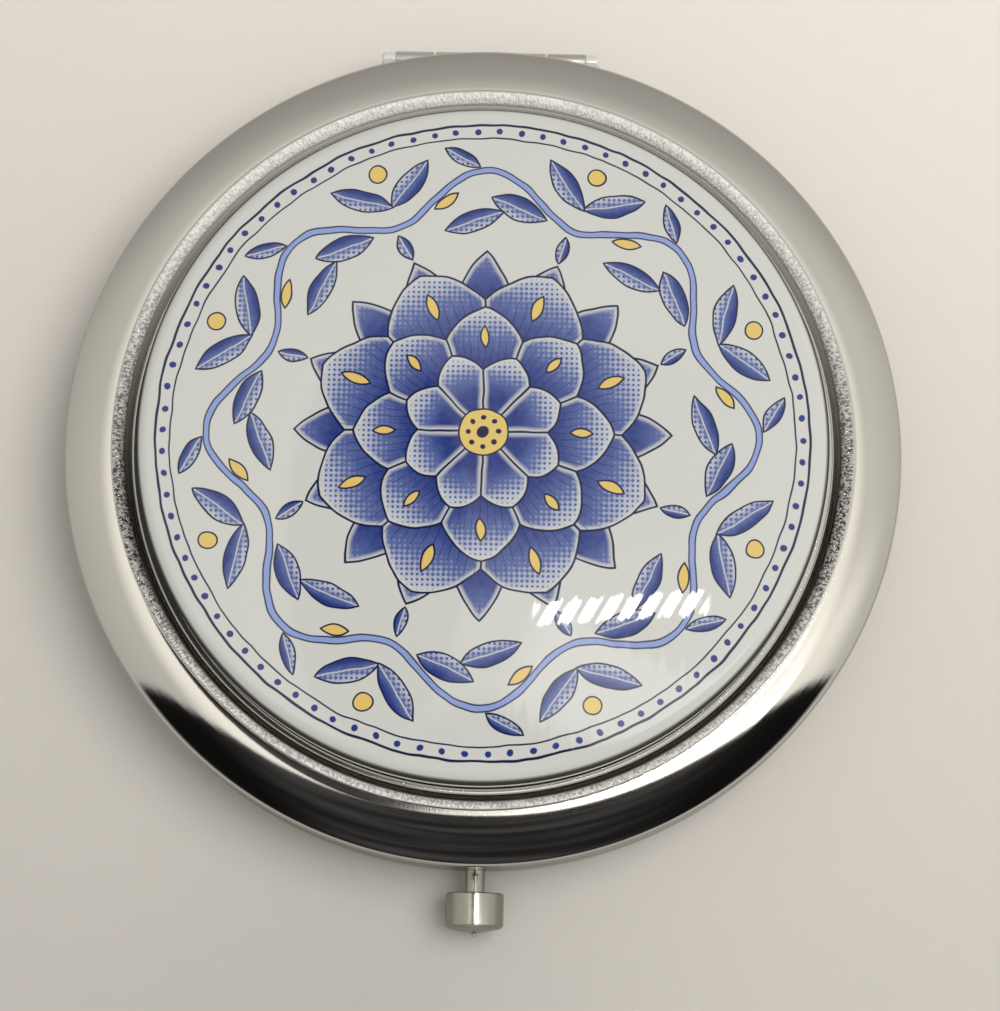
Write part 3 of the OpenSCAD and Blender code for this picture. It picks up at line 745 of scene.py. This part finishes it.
def glazed_print(name, sizes, field_edge, rim):
    """White glaze with a formal blue rosette, a leafy vine round it and a beaded border, under a clear gloss.
    Lengths are in mm and angles in radians."""
    material, tree, point, place = material_tree(name)
    art = Print(tree, sizes, point, place)
    navy, gilt = art.navy, art.gilt
    waves = 8
    half_wave = math.pi / waves

    art.circle_line(26.9, 0.11, navy)
    out, across, _ = art.sector(90)
    art.disc_of(out, across, (26.3, 0), 0.27, art.cobalt, False)
    art.circle_line(25.7, 0.07, navy)

    art.vine(waves, 20.8, 1.9, 0.32)
    out, across, _ = art.sector(waves)
    art.leaf(out, across, (19.4, -2.7), 1.15, 2.5, 0.98)
    art.leaf(out, across, (18.2, 1.0), 0.35 + math.pi / 2, 2.6, 0.9)
    art.leaf(out, across, (23.9, 2.1), 1.05, 1.7, 0.62)
    art.leaf(out, across, (19.9, 3.4), -0.9, 1.2, 0.44, True)
    out, across, _ = art.sector(waves, half_wave)
    art.leaf(out, across, (22.3, -2.2), -1.0, 2.6, 0.98)
    art.leaf(out, across, (22.4, 2.1), 0.95, 2.7, 0.94)
    art.leaf(out, across, (17.0, 0.2), 0.15, 1.2, 0.5)
    art.disc_of(out, across, (24.1, 0), 0.75, gilt)

    art.petals(16, 0.0, 10.2, 5.3, 2.3, 0.6, 1.35, False)
    art.petals(8, TURN / 16, 8.4, 5.9, 4.7, 0.45, 1.15, True)
    out, across, _ = art.sector(8, TURN / 16)
    art.leaf(out, across, (11.4, 0), 0.0, 1.15, 0.42, True)
    art.petals(8, 0.0, 6.2, 4.5, 3.4, 0.4, 1.15, True)
    out, across, _ = art.sector(8)
    art.leaf(out, across, (8.1, 0), 0.0, 0.9, 0.36, True)
    art.petals(8, TURN / 16, 3.9, 2.9, 2.2, 0.3, 1.1, False)
    art.disc_of(art.radius, art.radius * 0, (0, 0), 2.0, gilt)
    out, across, _ = art.sector(8)
    art.disc_of(out, across, (1.25, 0), 0.22, navy, False)
    art.disc_of(art.radius, art.radius * 0, (0, 0), 0.5, navy, False)

    # The clear edge; the side of the disc, darkened as painted shade; and a pale band near its foot, a
    # painted highlight
    radius = ring_distance(place)
    clear = radius.rise(field_edge / MM - 0.1, field_edge / MM + 0.15)
    side = radius.rise(rim / MM - 0.3, rim / MM - 0.14)
    tint = blended(tree, clear, art.ink, tuple(sizes.edge_tint))
    # Painted shade: the side of the disc darkened
    tint = blended(tree, side, tint, from_screen(66, 68, 66))
    height = place[2] - DISC_LOW.z / MM
    # Painted highlight: a pale band near the foot of the disc's side
    pale = side * height.rise(0.4, 0.55) * height.rise(1.7, 1.5)
    tint = blended(tree, pale, tint, from_screen(240, 240, 236))
    plan = vector(tree, place[0], place[1], 0)
    ripple, orange_peel = noise(tree, plan, 0.6, 3), noise(tree, plan, 4.0, 3)
    return finished(material, Base_Color=tint, Roughness=0.5, Specular_IOR_Level=0, Coat_Weight=1 - side,
                    Coat_Roughness=0.012, Normal=bumped(tree, ripple + orange_peel * 0.3, 0.012 * MM, 0.5))


def table_top(name, tint):
    """Pale matt table with painted light: a little brighter towards the back and the right over a span of so
    many mm each way, with one duller patch of painted shade, and with a fine mottle. Polished metal shows it
    duller, a painted shade as in the shade of the case."""
    material, tree, point, place = material_tree(name)
    mottle = noise(tree, point, 0.4, 5, 0.6)
    span = 90
    # Painted light: brighter towards the back and the right
    level = place[0].rise(-span, span) * 0.156 + place[1].rise(-span, span) * 0.41 + 0.587 + mottle * 0.03
    # Painted shade: one duller patch in front of the case
    level = level - hypotenuse((place[0] + 8) / 34, (place[1] + 46) / 24).rise(1, 0) * 0.06
    polished = Field(tree, tree.nodes.new("ShaderNodeLightPath").outputs["Is Glossy Ray"])
    # Painted shade that only polished metal shows in the table
    level = level * (1 - polished * 0.4)
    scaled = tree.nodes.new("ShaderNodeVectorMath")
    scaled.operation = "SCALE"
    scaled.inputs[0].default_value = tint
    tree.links.new(level.socket, scaled.inputs["Scale"])
    return finished(material, Base_Color=scaled.outputs[0], Roughness=0.62, Specular_IOR_Level=0.2,
                    Normal=bumped(tree, mottle, 0.04 * MM, 0.3))


# Operators


class PieceOperator:
    """What the operators of this file share."""
    bl_options = {"REGISTER", "UNDO"}


def settings(context, *groups):
    """The settings of some groups of the scene."""
    return [getattr(context.scene, "mirror_" + group) for group in groups]


def rim_face(sizes, crest_height, start):
    """Face line of a rim from a slope near its crest to the parting gap, as radius and height above it."""
    case = LID_HIGH.x
    crest = case - sizes.rim_width
    arc_radius = (sizes.rim_width - sizes.edge_bend) / math.sin(sizes.rim_slope) + sizes.edge_bend
    centre = (crest, crest_height - arc_radius)
    bend = (case - sizes.edge_bend, centre[1] + (arc_radius - sizes.edge_bend) * math.cos(sizes.rim_slope))
    gap = LID_LOW.z - PARTING
    return np.concatenate([
        arc(centre, arc_radius, start, sizes.rim_slope, 40),
        arc(bend, sizes.edge_bend, sizes.rim_slope, math.pi / 2, 12)[1:],
        np.array([[case, gap + sizes.lip]]),
    ])


def notch_cutter(hinge):
    """The space of the hinge barrel with its clearance."""
    half_height = LID_LEAF_HIGH.z - HINGE_AXIS.z + hinge.notch_clear
    front = HINGE_AXIS.y - half_height
    half = CAPS_HIGH.x + hinge.notch_clear
    return box_cutter((-half, front, HINGE_AXIS.z - half_height),
                      (half, LID_HIGH.y + 2 * PAST_SHEET, HINGE_AXIS.z + half_height))


def rivet_places(node, hinge):
    """The middles of a pair of rivets across the case, as two points in X and Y."""
    low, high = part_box(node)
    return [(side * (high.x - hinge.head), (low.y + high.y) / 2) for side in (-1, 1)]


def rivet_holes(node, hinge):
    """Cutters for the holes of a pair of rivets, through whatever sheet they pass."""
    low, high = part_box(node)
    return [round_cutter((x, y, 0), hinge.shank + hinge.play, low.z - PAST_SHEET, high.z + PAST_SHEET)
            for x, y in rivet_places(node, hinge)]


def rivet_counterbores(node, hinge):
    """Cutters that sink the heads of a pair of rivets into the flange, from the parting plane."""
    low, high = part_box(node)
    far = low.z + hinge.head_height if low.z > PARTING else high.z - hinge.head_height
    return [round_cutter((x, y, 0), hinge.head + hinge.play, min(PARTING, far), max(PARTING, far))
            for x, y in rivet_places(node, hinge)]


class MIRROR_OT_cases(PieceOperator, bpy.types.Operator):
    """Builds the two stamped shells with their domed rims"""
    bl_idname = "pocket_mirror.cases"
    bl_label = "Shells"

    def execute(self, context):
        sizes, hinge, knob = settings(context, "case", "hinge", "knob")
        crest = LID_HIGH.x - sizes.rim_width
        recess = crest - sizes.crest_bend
        crest_height = LID_HIGH.z - PARTING
        floor = crest_height - sizes.recess_depth
        tight = arc((crest, crest_height - sizes.crest_bend), sizes.crest_bend, -sizes.wall_slope, 0, 18)
        foot = tight[0, 0] - (tight[0, 1] - floor) / math.tan(sizes.wall_slope)
        inner = rounded([(0, floor), (foot, floor), tight[0]], (0, sizes.corner, 0))
        face = rim_face(sizes, crest_height, 0)
        outline = sheet_outline(np.concatenate([inner[:-1], tight, face[1:]]), sizes.sheet, sizes.lip)
        lid = turned("lid_case", outline + [0, PARTING], sizes.turns)
        cut_away(lid, notch_cutter(hinge))

        # The base's rim starts a little inside its crest, and short leads join it to the groove.
        start = -math.radians(6)
        lead, floor_bend, shelf_bend = 0.25 * MM, 0.5 * MM, 0.15 * MM
        face = rim_face(sizes, crest_height, start)
        depth = PARTING - BASE_LOW.z
        groove = crest_height - sizes.groove_depth
        before = face[0] - lead * np.array([math.cos(start), -math.sin(start)])
        inner = recess - sizes.groove_width
        bottom = rounded([(0, depth), (inner - sizes.foot_slope, depth), (inner, groove),
                          (inner + lead, groove), before, face[0]],
                         (0, floor_bend, floor_bend / 2, shelf_bend, floor_bend))
        outline = sheet_outline(np.concatenate([bottom, face[1:]]), sizes.sheet, sizes.lip)
        base = turned("base_case", outline * [1, -1] + [0, PARTING], sizes.turns)
        slot_half = BASE_LEAF_HIGH.x + hinge.notch_clear
        slot_low = BASE_LEAF_LOW.z - (LID_LOW.z - PARTING)
        slot_front = math.sqrt((LID_HIGH.x - sizes.sheet) ** 2 - slot_half ** 2) - hinge.notch_clear
        slot = box_cutter((-slot_half, slot_front, slot_low),
                          (slot_half, LID_HIGH.x + PAST_SHEET, PARTING + PAST_SHEET))
        stem_hole = round_cutter((STEM_AXIS.x, 0, STEM_AXIS.z), knob.stem + knob.hole_play,
                                 -LID_HIGH.x - 2 * PAST_SHEET, -LID_HIGH.x + 5 * PAST_SHEET, "Y")
        cut_away(base, notch_cutter(hinge), slot, stem_hole)
        finish = polished_case("polished_case", crest / MM, foot / MM)
        dressed(lid, "lid", "polished_case", finish, "lid_shell")
        dressed(base, "base", "polished_case", finish, "base_shell")
        return {"FINISHED"}


class MIRROR_OT_disc(PieceOperator, bpy.types.Operator):
    """Builds the crowned disc with its glazed print, and dresses the adhesive under it"""
    bl_idname = "pocket_mirror.disc"
    bl_label = "Decorated disc"

    def execute(self, context):
        sizes, case = settings(context, "disc", "case")
        rim, back, top = DISC_HIGH.x, DISC_LOW.z, DISC_HIGH.z
        dome_radius = rim - sizes.shoulder
        big = (dome_radius ** 2 + sizes.crown ** 2) / (2 * sizes.crown)
        slope = math.asin(dome_radius / big)
        centre_height = top - sizes.crown - sizes.shoulder * math.cos(slope)
        centre_radius = dome_radius - sizes.shoulder * math.sin(slope)
        reach = rim - centre_radius
        bevel = 0.15 * MM
        shoulder = arc((centre_radius, centre_height), sizes.shoulder, math.pi / 2, slope, 20)
        shoulder[:, 0] = centre_radius + (shoulder[:, 0] - centre_radius) * reach / sizes.shoulder
        dome = arc((0, top - big), big, slope, 0, 48)[1:]
        dome[-1, 0] = 0
        outline = np.concatenate([[(0, back), (rim - bevel, back), (rim, back + bevel)], shoulder, dome])
        disc = turned("glazed_disc", outline, case.turns)
        print_edge = rim - sizes.clear_band
        dressed(disc, "lid", "glazed_disc", glazed_print("glazed_disc", sizes, print_edge, rim), "lid_disc")
        refinished("disc_adhesive", cured_adhesive("adhesive"))
        return {"FINISHED"}


class MIRROR_OT_trays(PieceOperator, bpy.types.Operator):
    """Builds the stamped trays and the mirrors in them, and dresses what lies behind the mirrors"""
    bl_idname = "pocket_mirror.trays"
    bl_label = "Trays and mirrors"

    def execute(self, context):
        sizes, hinge, knob = settings(context, "case", "hinge", "knob")
        finish = plated_sheet("polished_tray", 228, 228, 224, 0.1, "Y", 2.0)
        hook_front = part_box("lid_hook")[0].y
        plate_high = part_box("catch_plate")[1]
        window_half = plate_high.x + knob.window_clear
        for body, node, name, low, high, window_back, rivets in (
                ("lid", "lid_tray", "lid_inner_tray", TRAY_LOW, TRAY_HIGH,
                 hook_front + knob.sheet + knob.window_clear, ("lid_leaf_rivets", "hook_rivets")),
                ("base", "base_tray", "base_inner_tray", BASE_TRAY_LOW, BASE_TRAY_HIGH,
                 plate_high.y - knob.sheet, ("base_leaf_rivets", "bracket_rivets"))):
            up = 1 if body == "lid" else -1
            near = min(abs(low.z - PARTING), abs(high.z - PARTING))
            deep = max(abs(low.z - PARTING), abs(high.z - PARTING)) - sizes.tray_sheet
            well = GLASS_HIGH.x + sizes.well_gap
            line = rounded([(0, deep), (well, deep), (well, near), (high.x - sizes.lip, near)],
                           (0, sizes.corner / 2, sizes.corner * 1.1))
            outline = sheet_outline(line * [1, -1], sizes.tray_sheet, sizes.lip) * [1, -1]
            tray = turned(name, outline * [1, up] + [0, PARTING], sizes.turns)
            window = box_cutter((-window_half, hook_front - knob.window_clear, PARTING - PAST_SHEET),
                                (window_half, window_back, PARTING + PAST_SHEET))
            holes = [cutter for rivet in rivets
                     for cutter in rivet_holes(rivet, hinge) + rivet_counterbores(rivet, hinge)]
            cut_away(tray, notch_cutter(hinge), window, *holes)
            dressed(tray, body, "polished_tray", finish, node)
        glass = silvered_glass("mirror_glass")
        bevel = 0.2 * MM
        radius, face, back = GLASS_HIGH.x, GLASS_LOW.z, GLASS_HIGH.z
        outline = rounded([(0, face), (radius - bevel, face), (radius, face + bevel), (radius, back),
                           (0, back)], (0, bevel / 4, bevel / 4, bevel / 3))
        plain = turned("plain_mirror", outline, sizes.turns)
        dressed(plain, "lid", "mirror_glass", glass, "lid_mirror")
        thick = back - face
        radius, face, back = HOLLOW_HIGH.x, HOLLOW_HIGH.z, HOLLOW_LOW.z
        rise = (face - back) - thick
        big = ((radius - bevel) ** 2 + rise ** 2) / (2 * rise)
        slope = math.asin((radius - bevel) / big)
        hollow = arc((0, face - rise + big), -big, 0, -slope, 40)
        bowl = hollow[::-1] - [0, thick]
        bowl[:, 0] *= radius / (radius - bevel)
        outline = np.concatenate([hollow, [(radius, face - bevel)], bowl])
        outline[0, 0] = outline[-1, 0] = 0
        magnifying = turned("magnifying_mirror", outline, sizes.turns)
        dressed(magnifying, "base", "mirror_glass", glass, "base_mirror")
        foam = foam_tape("foam")
        refinished("lid_mirror_pad", foam)
        refinished("base_mirror_pad", foam)
        refinished("base_spacer", grey_board("card"))
        return {"FINISHED"}


class MIRROR_OT_hinge(PieceOperator, bpy.types.Operator):
    """Builds the rolled leaves of the hinge and the pressed ends of its pin, and dresses the pin"""
    bl_idname = "pocket_mirror.hinge"
    bl_label = "Hinge"

    def execute(self, context):
        sizes = context.scene.mirror_hinge
        barrel = LID_LEAF_HIGH.z - HINGE_AXIS.z
        rolled = arc((HINGE_AXIS.y, 0), barrel, 0, math.radians(292), 56)
        finish = plated_sheet("hinge_metal", 240, 238, 234, 0.3, "X", 5.0)
        inside = LID_LEAF_HIGH.x + sizes.knuckle_gap
        front = HINGE_AXIS.y - barrel - sizes.notch_clear
        for body, name, node, low, high, up in (
                ("lid", "lid_knuckle_leaf", "lid_hinge_leaf", LID_LEAF_LOW, LID_LEAF_HIGH, 1),
                ("base", "base_knuckle_leaf", "base_hinge_leaf", BASE_LEAF_LOW, BASE_LEAF_HIGH, -1)):
            line = np.concatenate([[(low.y, barrel)], rolled])
            outline = sheet_outline(line, sizes.sheet, sizes.sheet / 4)
            leaf = extruded(name, outline * [1, up] + [0, HINGE_AXIS.z], low.x, high.x)
            if body == "base":
                cut_away(leaf, box_cutter((-inside, front, low.z - PAST_SHEET),
                                          (inside, high.y + PAST_SHEET, high.z + PAST_SHEET)))
            ease_edges(leaf, sizes.edge)
            cut_away(leaf, *rivet_holes(f"{body}_leaf_rivets", sizes))
            dressed(leaf, body, "hinge_metal", finish, node)
        pin = PIN_HIGH.y - HINGE_AXIS.y
        cap = CAPS_HIGH.z - HINGE_AXIS.z
        inner = BASE_LEAF_HIGH.x
        bore, pocket = pin + sizes.play, PIN_HIGH.x + sizes.play
        outline = rounded([(bore, pocket), (bore, inner), (cap, inner), (cap, CAPS_HIGH.x),
                           (0, CAPS_HIGH.x)], (0, 0, sizes.cap_round / 6, sizes.cap_round))
        outline = np.concatenate([[(0, pocket)], outline])
        centre = (0, HINGE_AXIS.y, HINGE_AXIS.z)
        ends = [turned_arrays(outline * [1, side], 64, "X", centre) for side in (1, -1)]
        caps = mesh_object("pressed_pin_ends", *joined(ends))
        bright = turned_metal("pin_metal", 0, 252, 251, 249, 0.5)
        dressed(caps, "base", "pin_metal", bright, "pin_end_caps")
        refinished("hinge_pin", turned_metal("pin_steel", 0, 214, 213, 210))
        return {"FINISHED"}


class MIRROR_OT_rivets(PieceOperator, bpy.types.Operator):
    """Builds the pairs of rivets with slightly domed heads"""
    bl_idname = "pocket_mirror.rivets"
    bl_label = "Rivets"

    def execute(self, context):
        sizes = context.scene.mirror_hinge
        finish = plated_sheet("rivet_metal", 212, 210, 205, 0.18, "Z", 4.0)
        for body, node in (("lid", "lid_leaf_rivets"), ("lid", "hook_rivets"),
                           ("base", "base_leaf_rivets"), ("base", "bracket_rivets")):
            low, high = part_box(node)
            head = sizes.head_height
            dome, flat = head * 0.35, sizes.head * 0.6
            crown_bend, side_bend, back_bend = 0.2 * MM, 0.03 * MM, 0.01 * MM
            half = [(flat, 0), (sizes.head, dome), (sizes.head, head), (sizes.shank, head)]
            bends = (crown_bend, side_bend, back_bend, 0)
            outline = rounded([(0, low.z)] + [(radius, low.z + height) for radius, height in half]
                              + [(radius, high.z - height) for radius, height in half[::-1]] + [(0, high.z)],
                              (0,) + bends + bends[::-1], 6)
            pair = [turned_arrays(outline, 48, "Z", (x, y, 0)) for x, y in rivet_places(node, sizes)]
            rivets = mesh_object(node.replace("rivets", "rivet_pair"), *joined(pair))
            dressed(rivets, body, "rivet_metal", finish, node)
        return {"FINISHED"}


class MIRROR_OT_catch(PieceOperator, bpy.types.Operator):
    """Dresses the hook, the bracket and the catch plate"""
    bl_idname = "pocket_mirror.catch"
    bl_label = "Catch"

    def execute(self, context):
        finish = plated_sheet("latch_metal", 200, 198, 192, 0.26, "X", 4.0)
        for node in ("lid_hook", "latch_bracket", "catch_plate"):
            refinished(node, finish)
        return {"FINISHED"}


class MIRROR_OT_knob(PieceOperator, bpy.types.Operator):
    """Builds the turned push knob with its stem, cone and parting pip"""
    bl_idname = "pocket_mirror.knob"
    bl_label = "Push knob"

    def execute(self, context):
        sizes = context.scene.mirror_knob
        knob = (KNOB_HIGH.x - KNOB_LOW.x) / 2
        tip, tail_end = KNOB_LOW.y, KNOB_HIGH.y
        back = -(LID_HIGH.x + sizes.show)
        front = back - sizes.head_length
        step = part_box("catch_plate")[1].y - sizes.sheet
        corner, soft = 0.03 * MM, 0.06 * MM
        outline = rounded([(0, tail_end), (sizes.tail, tail_end), (sizes.tail, step), (sizes.stem, step),
                           (sizes.stem, back), (knob - sizes.back_edge, back), (knob, back - sizes.back_edge),
                           (knob, front + sizes.front_edge), (knob - sizes.front_edge, front),
                           (sizes.pip, front - sizes.cone), (sizes.pip, tip), (0, tip)],
                          (0, corner, 0, corner, soft, corner, corner, corner, corner, corner, soft), 6)
        piece = turned("turned_knob", outline, 128, "Y", STEM_AXIS)
        dressed(piece, "button", "knob_metal", turned_metal("knob_metal", 1, 199, 197, 187), "push_knob")
        return {"FINISHED"}


class MIRROR_OT_spring(PieceOperator, bpy.types.Operator):
    """Winds the small compression spring round the tail of the stem"""
    bl_idname = "pocket_mirror.spring"
    bl_label = "Latch spring"

    def execute(self, context):
        sizes = context.scene.mirror_knob
        coil = (SPRING_HIGH.x - SPRING_LOW.x) / 2 - sizes.wire
        start, stop = SPRING_HIGH.y - sizes.wire, SPRING_LOW.y + sizes.wire
        turns = (start - stop) / sizes.pitch
        steps, sides = int(40 * turns), 14
        way = np.linspace(0, 1, steps)[:, None]
        angle = way * turns * TURN
        around = np.arange(sides)[None] * TURN / sides
        radial = coil + sizes.wire * np.cos(around)
        climb = math.atan(sizes.pitch / (TURN * coil))
        slide = sizes.wire * np.sin(around)
        x = radial * np.cos(angle) + slide * math.sin(climb) * np.sin(angle)
        z = radial * np.sin(angle) - slide * math.sin(climb) * np.cos(angle)
        y = start + (stop - start) * way - slide * math.cos(climb)
        rings = np.stack([STEM_AXIS.x + x, y, STEM_AXIS.z + z], -1)
        points = np.concatenate([rings.reshape(-1, 3), rings[[0, -1]].mean(1)])
        # The coil runs the other way round than a turned piece, so its faces are turned over.
        quads = np.roll(ring_quads(steps, sides)[:, ::-1], 1, axis=1)
        triangles = end_fans(steps, sides)[:, ::-1]
        spring = mesh_object("latch_coil", points, quads, triangles)
        wire = turned_metal("spring_steel", 1, 196, 196, 194)
        dressed(spring, "base", "spring_steel", wire, "latch_spring")
        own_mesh(spring)
        return {"FINISHED"}


def studio_world(look):
    """A plain pale studio by direction: bright overhead, duller to the horizon and the back. Only what is
    polished shows the dark side in front, which starts well above the table, the two dark patches overhead
    and the two strips of light."""
    world = bpy.data.worlds.new("studio")
    bpy.context.scene.world = world
    world.use_nodes = True
    tree = world.node_tree
    tree.nodes.clear()
    toward = tree.nodes.new("ShaderNodeTexCoord").outputs["Generated"]
    x, y, z = parts_of(tree, toward)
    polished = Field(tree, tree.nodes.new("ShaderNodeLightPath").outputs["Is Glossy Ray"])
    # Brightness of the room by direction
    level = 0.59 + z.most(0) * 0.25 + z.rise(0.85, 1.0) * 0.7
    level = level * (1 - y.rise(0.4, 0.8) * 0.26) * (x.rise(0.0, 0.6) * 0.16 + 1)
    level = level * (x.rise(0.1, 0.4) * y.rise(0.15, -0.1) * z.rise(0.4, 0.8) * 0.5 + 1)
    # Dark side in front, between two slanting edges that waver, and only well above the table
    waver = noise(tree, toward, 14.0, 3) * 0.05 - 0.025
    side = (y - x * 0.45 + waver).rise(0.015, -0.03) * (y + x * 0.38 + waver).rise(0.015, -0.03)
    side = side * z.rise(0.33, 0.44)
    # Two dark patches overhead, each an ellipse, the right one half as dark
    top = hypotenuse((x - 0.11) / 0.14, (y - 0.22) / 0.1).rise(1.12, 0.88) * 0.5
    top = top.most(hypotenuse((x + 0.105) / 0.085, (y - 0.13) / 0.2).rise(1.1, 0.9)) * z.rise(0.1, 0.2)
    dark = side.most(top) * polished
    # Faint streaks in the dark
    streaks = noise(tree, vector(tree, x * 1.5, y * 5, z * 7), 1.0, 3).rise(0.38, 0.68)
    shade = 0.004 + abs(x).rise(0.55, 0.15) * (0.012 + streaks * 0.045)
    # Strip of light with ragged edges that shows on the rim
    along, across = x * 0.92 - y * 0.39, y * 0.92 + x * 0.39
    ragged = noise(tree, vector(tree, x * 150, y * 14, z), 1.0, 4, 0.7) * 0.09 - 0.045
    ring_strip = (abs(across - 0.035 + ragged) - 0.05).rise(0.012, -0.012)
    ring_strip = ring_strip * (abs(along - 0.24) - 0.22).rise(0.02, -0.02)
    # Short bright strip, broken into patches, that shows on the disc
    patches = ((x - y * 0.55) * 353).sine().rise(-0.6, 0.1)
    disc_strip = (abs(y - x * 0.1 - 0.06 + ragged * 0.3) - 0.009).rise(0.003, -0.003) * patches
    disc_strip = disc_strip * (abs(x - 0.125) - 0.075).rise(0.01, -0.01)
    ring_strength, disc_strength = 1.9, 110.0
    light = (ring_strip * ring_strength + disc_strip * disc_strength) * z.rise(0.1, 0.2) * polished
    tint = blended(tree, dark, tuple(look.room), (1, 0.98, 0.99))
    level = level * (1 - dark) + dark * shade
    background = tree.nodes.new("ShaderNodeBackground")
    tree.links.new(tint, background.inputs["Color"])
    tree.links.new(level.socket, background.inputs["Strength"])
    strips = tree.nodes.new("ShaderNodeBackground")
    strips.inputs["Color"].default_value = (1, 0.985, 0.95, 1)
    tree.links.new(light.socket, strips.inputs["Strength"])
    both = tree.nodes.new("ShaderNodeAddShader")
    tree.links.new(background.outputs[0], both.inputs[0])
    tree.links.new(strips.outputs[0], both.inputs[1])
    output = tree.nodes.new("ShaderNodeOutputWorld")
    tree.links.new(both.outputs[0], output.inputs["Surface"])


class MIRROR_OT_stage(PieceOperator, bpy.types.Operator):
    """Sets the camera, the pale table and the soft studio light"""
    bl_idname = "pocket_mirror.stage"
    bl_label = "Stage"

    def execute(self, context):
        scene = context.scene
        look = scene.mirror_stage
        aim = Vector((look.aim_x, look.aim_y, PARTING))
        forward = Vector((0, math.cos(look.elevation), -math.sin(look.elevation)))
        up = Vector((0, math.sin(look.elevation), math.cos(look.elevation)))
        right = Vector((1, 0, 0))
        turned_right = right * math.cos(look.roll) + up * math.sin(look.roll)
        turned_up = up * math.cos(look.roll) - right * math.sin(look.roll)
        camera_data = bpy.data.cameras.new("camera")
        camera_data.sensor_fit = "HORIZONTAL"
        camera_data.sensor_width = 36
        camera_data.lens = look.lens
        camera_data.clip_start, camera_data.clip_end = 1 * MM, 50
        camera = bpy.data.objects.new("camera", camera_data)
        scene.collection.objects.link(camera)
        turn = Matrix((turned_right, turned_up, -forward)).transposed().to_4x4()
        camera.matrix_world = Matrix.Translation(aim - forward * look.distance) @ turn
        scene.camera = camera

        table_half = 1.5
        corners = np.array([[-1, -1, 0], [1, -1, 0], [1, 1, 0], [-1, 1, 0]]) * table_half
        floor = mesh_object("table", corners, np.array([[0, 1, 2, 3]]))
        floor.data.materials.append(table_top("table", tuple(look.floor)))

        lamp_data = bpy.data.lights.new("soft lamp", "AREA")
        lamp_data.shape = "DISK"
        lamp_data.size = 0.7
        lamp_data.energy = look.fill
        lamp_data.color = (1, 0.99, 0.97)
        lamp = bpy.data.objects.new("soft lamp", lamp_data)
        scene.collection.objects.link(lamp)
        place = Vector((0.42, 0.08, 0.85))
        lamp.matrix_world = Matrix.Translation(place) @ place.to_track_quat("Z", "Y").to_matrix().to_4x4()
        lamp.visible_glossy = False
        lamp.visible_camera = False
        studio_world(look)
        scene.view_settings.view_transform = "Standard"
        return {"FINISHED"}


OPERATORS = (MIRROR_OT_stage, MIRROR_OT_cases, MIRROR_OT_disc, MIRROR_OT_trays, MIRROR_OT_hinge,
             MIRROR_OT_rivets, MIRROR_OT_catch, MIRROR_OT_knob, MIRROR_OT_spring)
GROUPS = {"mirror_case": CaseSizes, "mirror_disc": DiscSizes, "mirror_hinge": HingeSizes,
          "mirror_knob": KnobSizes, "mirror_stage": StageLook}


class MIRROR_PT_panel(bpy.types.Panel):
    """Lists the pieces of the pocket mirror"""
    bl_label = "Compact mirror"
    bl_idname = "MIRROR_PT_panel"
    bl_space_type = "VIEW_3D"
    bl_region_type = "UI"
    bl_category = "Compact mirror"

    def draw(self, context):
        for operator in OPERATORS:
            self.layout.operator(operator.bl_idname)
        for name in GROUPS:
            group = getattr(context.scene, name)
            column = self.layout.column()
            for field in group.__annotations__:
                column.prop(group, field)


def register():
    """Registers the settings, the operators and the panel."""
    for name, group in GROUPS.items():
        bpy.utils.register_class(group)
        setattr(bpy.types.Scene, name, PointerProperty(type=group))
    for operator in OPERATORS:
        bpy.utils.register_class(operator)
    bpy.utils.register_class(MIRROR_PT_panel)


def unregister():
    """Takes the panel, the operators and the settings out again."""
    bpy.utils.unregister_class(MIRROR_PT_panel)
    for operator in reversed(OPERATORS):
        bpy.utils.unregister_class(operator)
    for name, group in GROUPS.items():
        delattr(bpy.types.Scene, name)
        bpy.utils.unregister_class(group)


def main():
    """Registers the add-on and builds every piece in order."""
    register()
    for operator in OPERATORS:
        group, call = operator.bl_idname.split(".")
        getattr(getattr(bpy.ops, group), call)()


if __name__ == "__main__":
    main()
